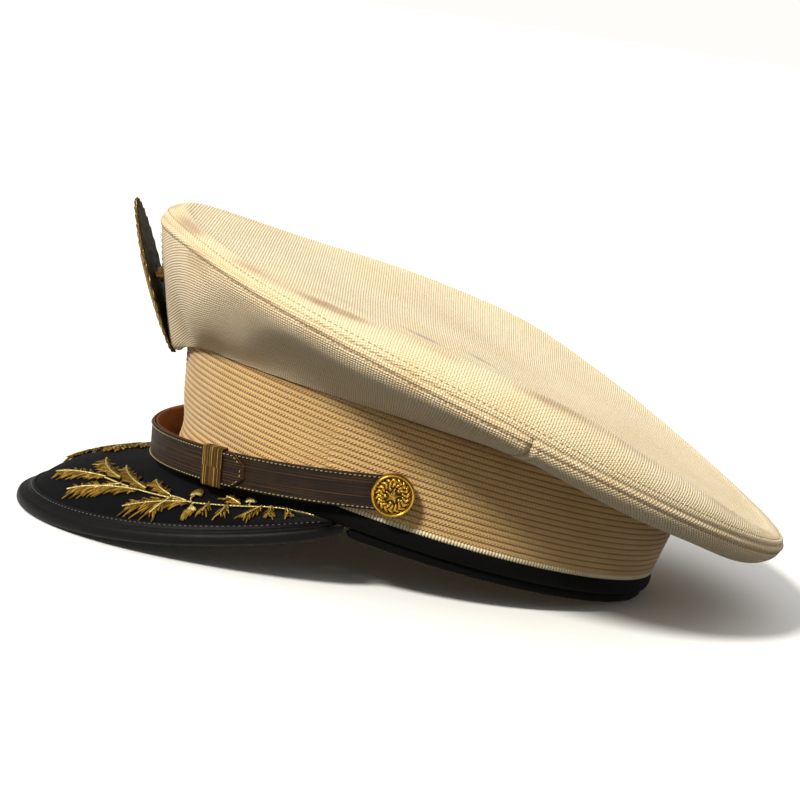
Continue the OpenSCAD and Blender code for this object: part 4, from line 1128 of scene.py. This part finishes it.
def keeper(name, node, side, body):
    """A flat loop of lace round both halves of the strap."""
    span = math.degrees(KEEPER_WID / 2 / SIDE_R)
    arc = np.linspace(-1, 1, 45)
    play, wall, squareness = 0.35, 0.7, 0.22
    deep, high = 2 * STRAP_THICK + 0.1 + 2 * play, STRAP_WID + 2 * play
    a = np.radians(np.arange(0, 360, 6))

    def loop(grow):
        """A rounded rectangle round the strap, grown outward: depth and height."""
        x = np.sign(np.cos(a)) * np.abs(np.cos(a)) ** squareness * (deep / 2 + grow)
        z = np.sign(np.sin(a)) * np.abs(np.sin(a)) ** squareness * (high / 2 + grow)
        return x, z

    centre = deep / 2 - play
    rows = []
    for w in arc:
        lace = 0.12 * abs(math.sin(math.pi * (w + 1) * 5.5)) - 0.1
        rows.append((w, wall + lace - 0.25 * max(abs(w) - 0.93, 0) / 0.07))
    rows += [(w, 0.0) for w in arc[::-1]]
    p = []
    for w, grow in rows:
        x, z = loop(grow)
        out, turn = SIDE_R - centre + x, KEEPER_ANGLE + span * w
        p.append(np.stack([SIDE_CENTRE + out * cosd(turn), out * sind(turn), z], -1))
    p = np.stack(p)
    if side > 0:
        p[..., 0] *= -1
    p = strap_frame(p)
    u = np.linspace(0, 2 * (deep + high), p.shape[1] + 1)
    v = np.concatenate([arc, arc[::-1], arc[:1]]) * KEEPER_WID / 2
    uv = pairs(u[None], v[:, None])
    piece = Piece()
    piece.grid(p, uv, wrap=True, wrap_v=True, flip=side < 0)
    piece.make(name, [KEEPER_LACE], body, "strap_lace", [node])


# ---------- the metal ----------


def leaf_bumps(x, y, cx, cy, angle, long, wide):
    """A domed leaf with a groove along its middle."""
    dx, dy = x - cx, y - cy
    p = (dx * math.cos(angle) + dy * math.sin(angle)) / long
    q = (-dx * math.sin(angle) + dy * math.cos(angle)) / wide
    body = np.clip(1 - p**2 - q**2 * (1 + 0.8 * np.abs(p)), 0, 1) ** 0.5
    return body * (1 - 0.35 * hill(q, 0.16))


def star(x, y, size, points=5):
    """A faceted star."""
    r, a = np.hypot(x, y), np.arctan2(x, y)
    step = 2 * math.pi / points
    a = np.abs((a + step / 2) % step - step / 2)
    inner = size * 0.42
    px, py = r * np.cos(a), r * np.sin(a)
    ix, iy = inner * math.cos(step / 2), inner * math.sin(step / 2)
    edge = (size - px) * iy - (size - ix) * py
    return np.clip(edge / (size * iy), 0, 1) * (0.8 + 0.2 * (py < 0.35))


def button_height(x, y):
    r = np.hypot(x, y)
    field = 1.0 + 1.5 * np.clip(1 - (r / 7.4) ** 2, 0, 1)
    relief = np.zeros_like(r)
    for k in range(18):
        a = math.radians(20 * k)
        for turn, out in ((1.0, 5.9), (-0.55, 4.6)):
            leaf = leaf_bumps(x, y, out * math.cos(a), out * math.sin(a), a + turn, 1.5, 0.62)
            relief = np.maximum(relief, 0.85 * leaf)
    for k in range(5):
        a = math.radians(90 + 36 + 72 * k)
        relief = np.maximum(relief, 0.5 * hill(np.hypot(x - 2.9 * math.cos(a), y - 2.9 * math.sin(a)), 0.5))
    relief = np.maximum(relief, 1.05 * star(x, y, 3.5) ** 0.8)
    rim = 1.7 * np.clip(1 - ((r - 7.75) / 0.78) ** 2, 0, 1) ** 0.5
    height = np.where(r > 6.95, np.maximum(rim + 0.55, field * ease(7.6, 6.9, r)), field + relief)
    return height, np.where(r < 6.95, np.clip(0.9 - relief * 2.6, 0, 1), 0)


def button(name, node, side):
    a = np.radians(np.arange(0, 360, 2.0))
    r = np.concatenate([np.linspace(0.15, 6.9, 52), np.linspace(7.0, BUTTON_R, 14)])
    x, y = r[None] * np.cos(a)[:, None], r[None] * np.sin(a)[:, None]
    h, dark = button_height(x, y)
    h[:, -1] = 0.55
    rings = [np.stack([BUTTON_BACK + h, x, y], -1)]
    shank = NUT_END - BUTTON_BACK - 0.3
    back = [(BUTTON_R, 0.3), (BUTTON_R - 0.4, 0.0), (4.0, 0.0), (1.5, 0.0), (1.5, shank), (0.05, shank)]
    rings.append(np.stack([np.stack([np.full(len(a), BUTTON_BACK + d), k * np.cos(a), k * np.sin(a)], -1)
                           for k, d in back], 1))
    p = np.concatenate(rings, 1)
    dark = np.concatenate([dark, np.zeros((len(a), len(back)))], 1)
    p[..., 1] += PIVOT_Y
    p[..., 2] += PIVOT_Z
    p[..., 0] *= side
    uv = pairs(np.degrees(np.append(a, 2 * math.pi))[:, None] * 0.14, run_length(p, 1)[:1])
    piece = Piece()
    piece.grid(p, uv, wrap=True, tone=dark, flip=side < 0)
    piece.cap(p[:, 0], side > 0)
    piece.cap(p[:, -1], side < 0)
    piece.make(name, [GILT], "cap", "gilt_brass", [node])


def badge_frame(p):
    c, s = cosd(90 + BADGE_LEAN), sind(90 + BADGE_LEAN)
    return np.stack([p[..., 0], p[..., 1] * c - p[..., 2] * s + BADGE_Y, p[..., 1] * s + p[..., 2] * c + BADGE_Z], -1)


def badge_relief(x, y):
    """Heights of the badge's face: rays, a wreath and a plain shield."""
    rho = np.hypot(x / (BADGE_WID / 2), y / (BADGE_HIGH / 2))
    a = np.arctan2(x / BADGE_WID, y / BADGE_HIGH)
    rays = 0.7 * np.abs(np.cos(a * RAYS / 2)) * ease(0.5, 0.8, rho)
    dome = 1.3 * np.clip(1 - rho**2, 0, 1)
    relief = np.zeros_like(x)
    for k in range(13):
        for hand in (-1, 1):
            b = math.radians(14 + 152 * k / 12)
            cx, cy = hand * BADGE_WID * 0.33 * math.sin(b), -BADGE_HIGH * 0.34 * math.cos(b)
            for tilt, out in ((0.5, 1.09), (-0.5, 0.91)):
                way = math.atan2(BADGE_HIGH * 0.34 * math.sin(b), hand * BADGE_WID * 0.33 * math.cos(b)) + hand * tilt
                relief = np.maximum(relief, 1.5 * leaf_bumps(x, y, cx * out, cy * out, way, 3.6, 1.5))
    w, h = BADGE_WID * 0.17, BADGE_HIGH * 0.17
    low = np.clip((h - y) / (2.6 * h), 0, 1)
    side = w * np.sqrt(np.clip(1 - low**3, 0, 1)) - np.abs(x)
    inside = np.minimum(np.minimum(side, h - y), 3)
    plate = 1.0 + 1.2 * ease(0, 1.0, inside) - 0.6 * ease(1.2, 2.0, inside)
    shield = np.where((y < h) & (y > -1.6 * h) & (side > 0), plate, 0)
    relief = np.maximum(relief, shield)
    band = 0.9 * np.clip(1 - (np.abs(y + 1.6 * h + 6) / 2.2) ** 2, 0, 1) * (np.abs(x) < 8)
    relief = np.maximum(relief, band)
    return dome + np.maximum(rays, relief), np.clip(0.75 - 0.7 * np.maximum(rays * 0.6, relief), 0, 1)


def badge():
    a = np.radians(np.arange(0, 360, 1.0))
    k = np.concatenate([np.linspace(0.01, 0.94, 62), [0.965, 0.985, 1.0]])
    tooth = 0.92 + 0.08 * np.abs(((a * RAYS / (2 * math.pi)) % 1) * 2 - 1)

    def outline(k):
        share = k[None] * lerp(1, tooth[:, None], ease(0.6, 1, k)[None])
        return BADGE_WID / 2 * share * np.sin(a)[:, None], BADGE_HIGH / 2 * share * np.cos(a)[:, None]

    x, y = outline(k)
    h, dark = badge_relief(x, y)
    front = np.stack([x, y, 0.7 + h], -1)
    front[:, -1, 2] = 0.55
    xr, yr = outline(np.linspace(1.0, 0.01, 24))
    rho = np.hypot(xr / (BADGE_WID / 2), yr / (BADGE_HIGH / 2))
    rear = np.stack([xr, yr, 0.35 * np.clip(1 - rho**2, 0, 1) - 0.05], -1)
    p = badge_frame(np.concatenate([front, rear], 1))
    tone = np.concatenate([dark, np.full(xr.shape, 0.9)], 1)
    uv = pairs(np.degrees(np.append(a, 2 * math.pi))[:, None] * 0.4, run_length(p, 1)[:1])
    piece = Piece()
    piece.grid(p, uv, wrap=True, tone=tone, flip=True)
    piece.cap(p[:, 0], True)
    piece.cap(p[:, -1])
    piece.make("badge_laurel", [BRONZE], "cap", "old_bronze", ["badge_plate", "badge_wreath", "badge_shield"])


# ---------- building everything ----------

crown_top()
for name, node, t0, t1, turn in (
        ("quarter_front_left_cloth", "quarter_front_left", 0, SIDE_SEAM, 4),
        ("quarter_front_right_cloth", "quarter_front_right", -SIDE_SEAM, 0, -4),
        ("quarter_rear_left_cloth", "quarter_rear_left", SIDE_SEAM, 180, 42),
        ("quarter_rear_right_cloth", "quarter_rear_right", 180, 360 - SIDE_SEAM, -42)):
    quarter(name, node, t0, t1, turn)
crown_lining()
band_braid()
band_inside()
band_roll("edge_cord_ribbed", PALE_CORD, "pale_cord", "edge_cord", CORD_START, 11.05, -0.42, 0.74, 1.05, 0.17, 10,
          0.22)
band_roll("welt_upper_roll", WELT, "black_leather", "welt_upper", CORNER - 18, welt_mid, 0.0, 1.15, welt_half, 1.0,
          20)
band_roll("welt_lower_roll", WELT, "black_leather", "welt_lower", CORNER, 1.5, -1.6, 1.15, 2.1, 1.0, 20)
visor_seam_strip()
visor_sheets()
visor_rim()
on_visor = visor_top_finder()
embroidery(1, on_visor)
embroidery(-1, on_visor)
strap_half("strap_left_lace", "strap_left", -1, 1.2, "strap_lace")
strap_half("strap_right_lace", "strap_right", 1, 0.0, "strap_lace")
keeper("keeper_left_loop", "keeper_left", 1, "left_keeper")
keeper("keeper_right_loop", "keeper_right", -1, "right_keeper")
button("button_left_star", "button_left", 1)
button("button_right_star", "button_right", -1)
badge()

for node, look in (
        ("band_core", CORE), ("crown_hoop", HOOP), ("hoop_ferrule", STEEL), ("front_stay", STEEL),
        ("visor_board", VISOR_BOARD), ("button_nuts", PIN), ("badge_post", PIN), ("badge_eyelet", PIN),
        ("badge_nut", PIN), ("moisture_shield", FILM), ("sweatband_reed", PALE_CORD), ("sweatband_bow", SATIN)):
    obj = frame["nodes"][node]
    if obj.material_slots:
        for material_slot in obj.material_slots:
            material_slot.material = look.material
    else:
        obj.data.materials.append(look.material)

# ---------- floor, light and camera ----------

FLOOR_RADIUS = 60.0
turns = [math.radians(a) for a in range(0, 360, 3)]
ring_points = [(FLOOR_RADIUS * math.cos(a), FLOOR_RADIUS * math.sin(a), 0) for a in turns]
mesh = bpy.data.meshes.new("floor")
mesh.from_pydata(ring_points, [], [list(range(len(ring_points)))])
mesh.materials.append(FLOOR.material)
floor = bpy.data.objects.new("floor", mesh)
bpy.context.scene.collection.objects.link(floor)
floor.visible_diffuse = False

world = bpy.data.worlds.new("studio")
world.use_nodes = True
tree = world.node_tree
coordinates = tree.nodes.new("ShaderNodeTexCoord")
split = tree.nodes.new("ShaderNodeSeparateXYZ")
sky = tree.nodes.new("ShaderNodeValToRGB")
tree.links.new(coordinates.outputs["Generated"], split.inputs[0])
half_way = tree.nodes.new("ShaderNodeMath")
half_way.operation = "MULTIPLY_ADD"
half_way.inputs[1].default_value = half_way.inputs[2].default_value = 0.5
tree.links.new(split.outputs["Z"], half_way.inputs[0])
tree.links.new(half_way.outputs[0], sky.inputs[0])
tree.links.new(sky.outputs[0], tree.nodes["Background"].inputs["Color"])
# Brightness of the sky by height: dim below, a white horizon for the backdrop, soft light from overhead.
stops = [(0.0, 0.12), (0.485, 0.14), (0.495, 1.0), (0.53, 1.0), (0.56, 0.2), (0.72, 0.32), (0.9, 0.8), (1.0, 0.9)]
ramp = sky.color_ramp
while len(ramp.elements) < len(stops):
    ramp.elements.new(0.5)
for element, (place, value) in zip(ramp.elements, stops):
    element.position = place
    element.color = (value, value * 0.985, value * 0.95, 1)
tree.nodes["Background"].inputs["Strength"].default_value = 1.0
bpy.context.scene.world = world
bpy.context.scene.view_settings.view_transform = "Standard"

SUN_STRENGTH, SUN_WIDTH, SUN_TRAVEL = 3.9, 11, (-0.8, 0.72, -0.95)
sun = bpy.data.lights.new("key", "SUN")
sun.energy, sun.angle, sun.color = SUN_STRENGTH, math.radians(SUN_WIDTH), (1.0, 0.96, 0.88)
key = bpy.data.objects.new("key", sun)
key.rotation_mode = "QUATERNION"
key.rotation_quaternion = Vector(SUN_TRAVEL).to_track_quat("-Z", "Y")
bpy.context.scene.collection.objects.link(key)

# The camera's place is given in a frame tilted against the head frame by this angle about X.
VIEW_TILT = 18.16968
VIEW_TARGET = np.array([0.0, -1.18675, 47.30563])
VIEW_BACK = np.array([0.98629, 0.0, 0.16505])
VIEW_RIGHT = np.array([0.0, 1.0, 0.0])
FOCAL_PX, PICTURE_PX, SENSOR_MM = 2404.08, 800, 36.0


def from_view(p):
    """The camera's own frame to the head frame."""
    c, s = cosd(VIEW_TILT), sind(VIEW_TILT)
    return np.stack([p[..., 0], p[..., 1] * c - p[..., 2] * s, p[..., 1] * s + p[..., 2] * c], -1)


def row_direction(v):
    return Vector(((to_row(from_view(v)) - to_row(np.zeros(3))) * 1000).tolist()).normalized()


back, right = row_direction(VIEW_BACK), row_direction(VIEW_RIGHT)
lens = bpy.data.cameras.new("camera")
lens.sensor_width = SENSOR_MM
lens.lens = FOCAL_PX / PICTURE_PX * SENSOR_MM
lens.clip_start, lens.clip_end = 0.05, 200
camera = bpy.data.objects.new("camera", lens)
camera.matrix_world = Matrix.Translation(Vector(to_row(from_view(VIEW_TARGET + 1000 * VIEW_BACK)).tolist())) @ Matrix(
    (right, back.cross(right), back)).transposed().to_4x4()
bpy.context.scene.collection.objects.link(camera)
bpy.context.scene.camera = camera

bpy.context.view_layer.update()
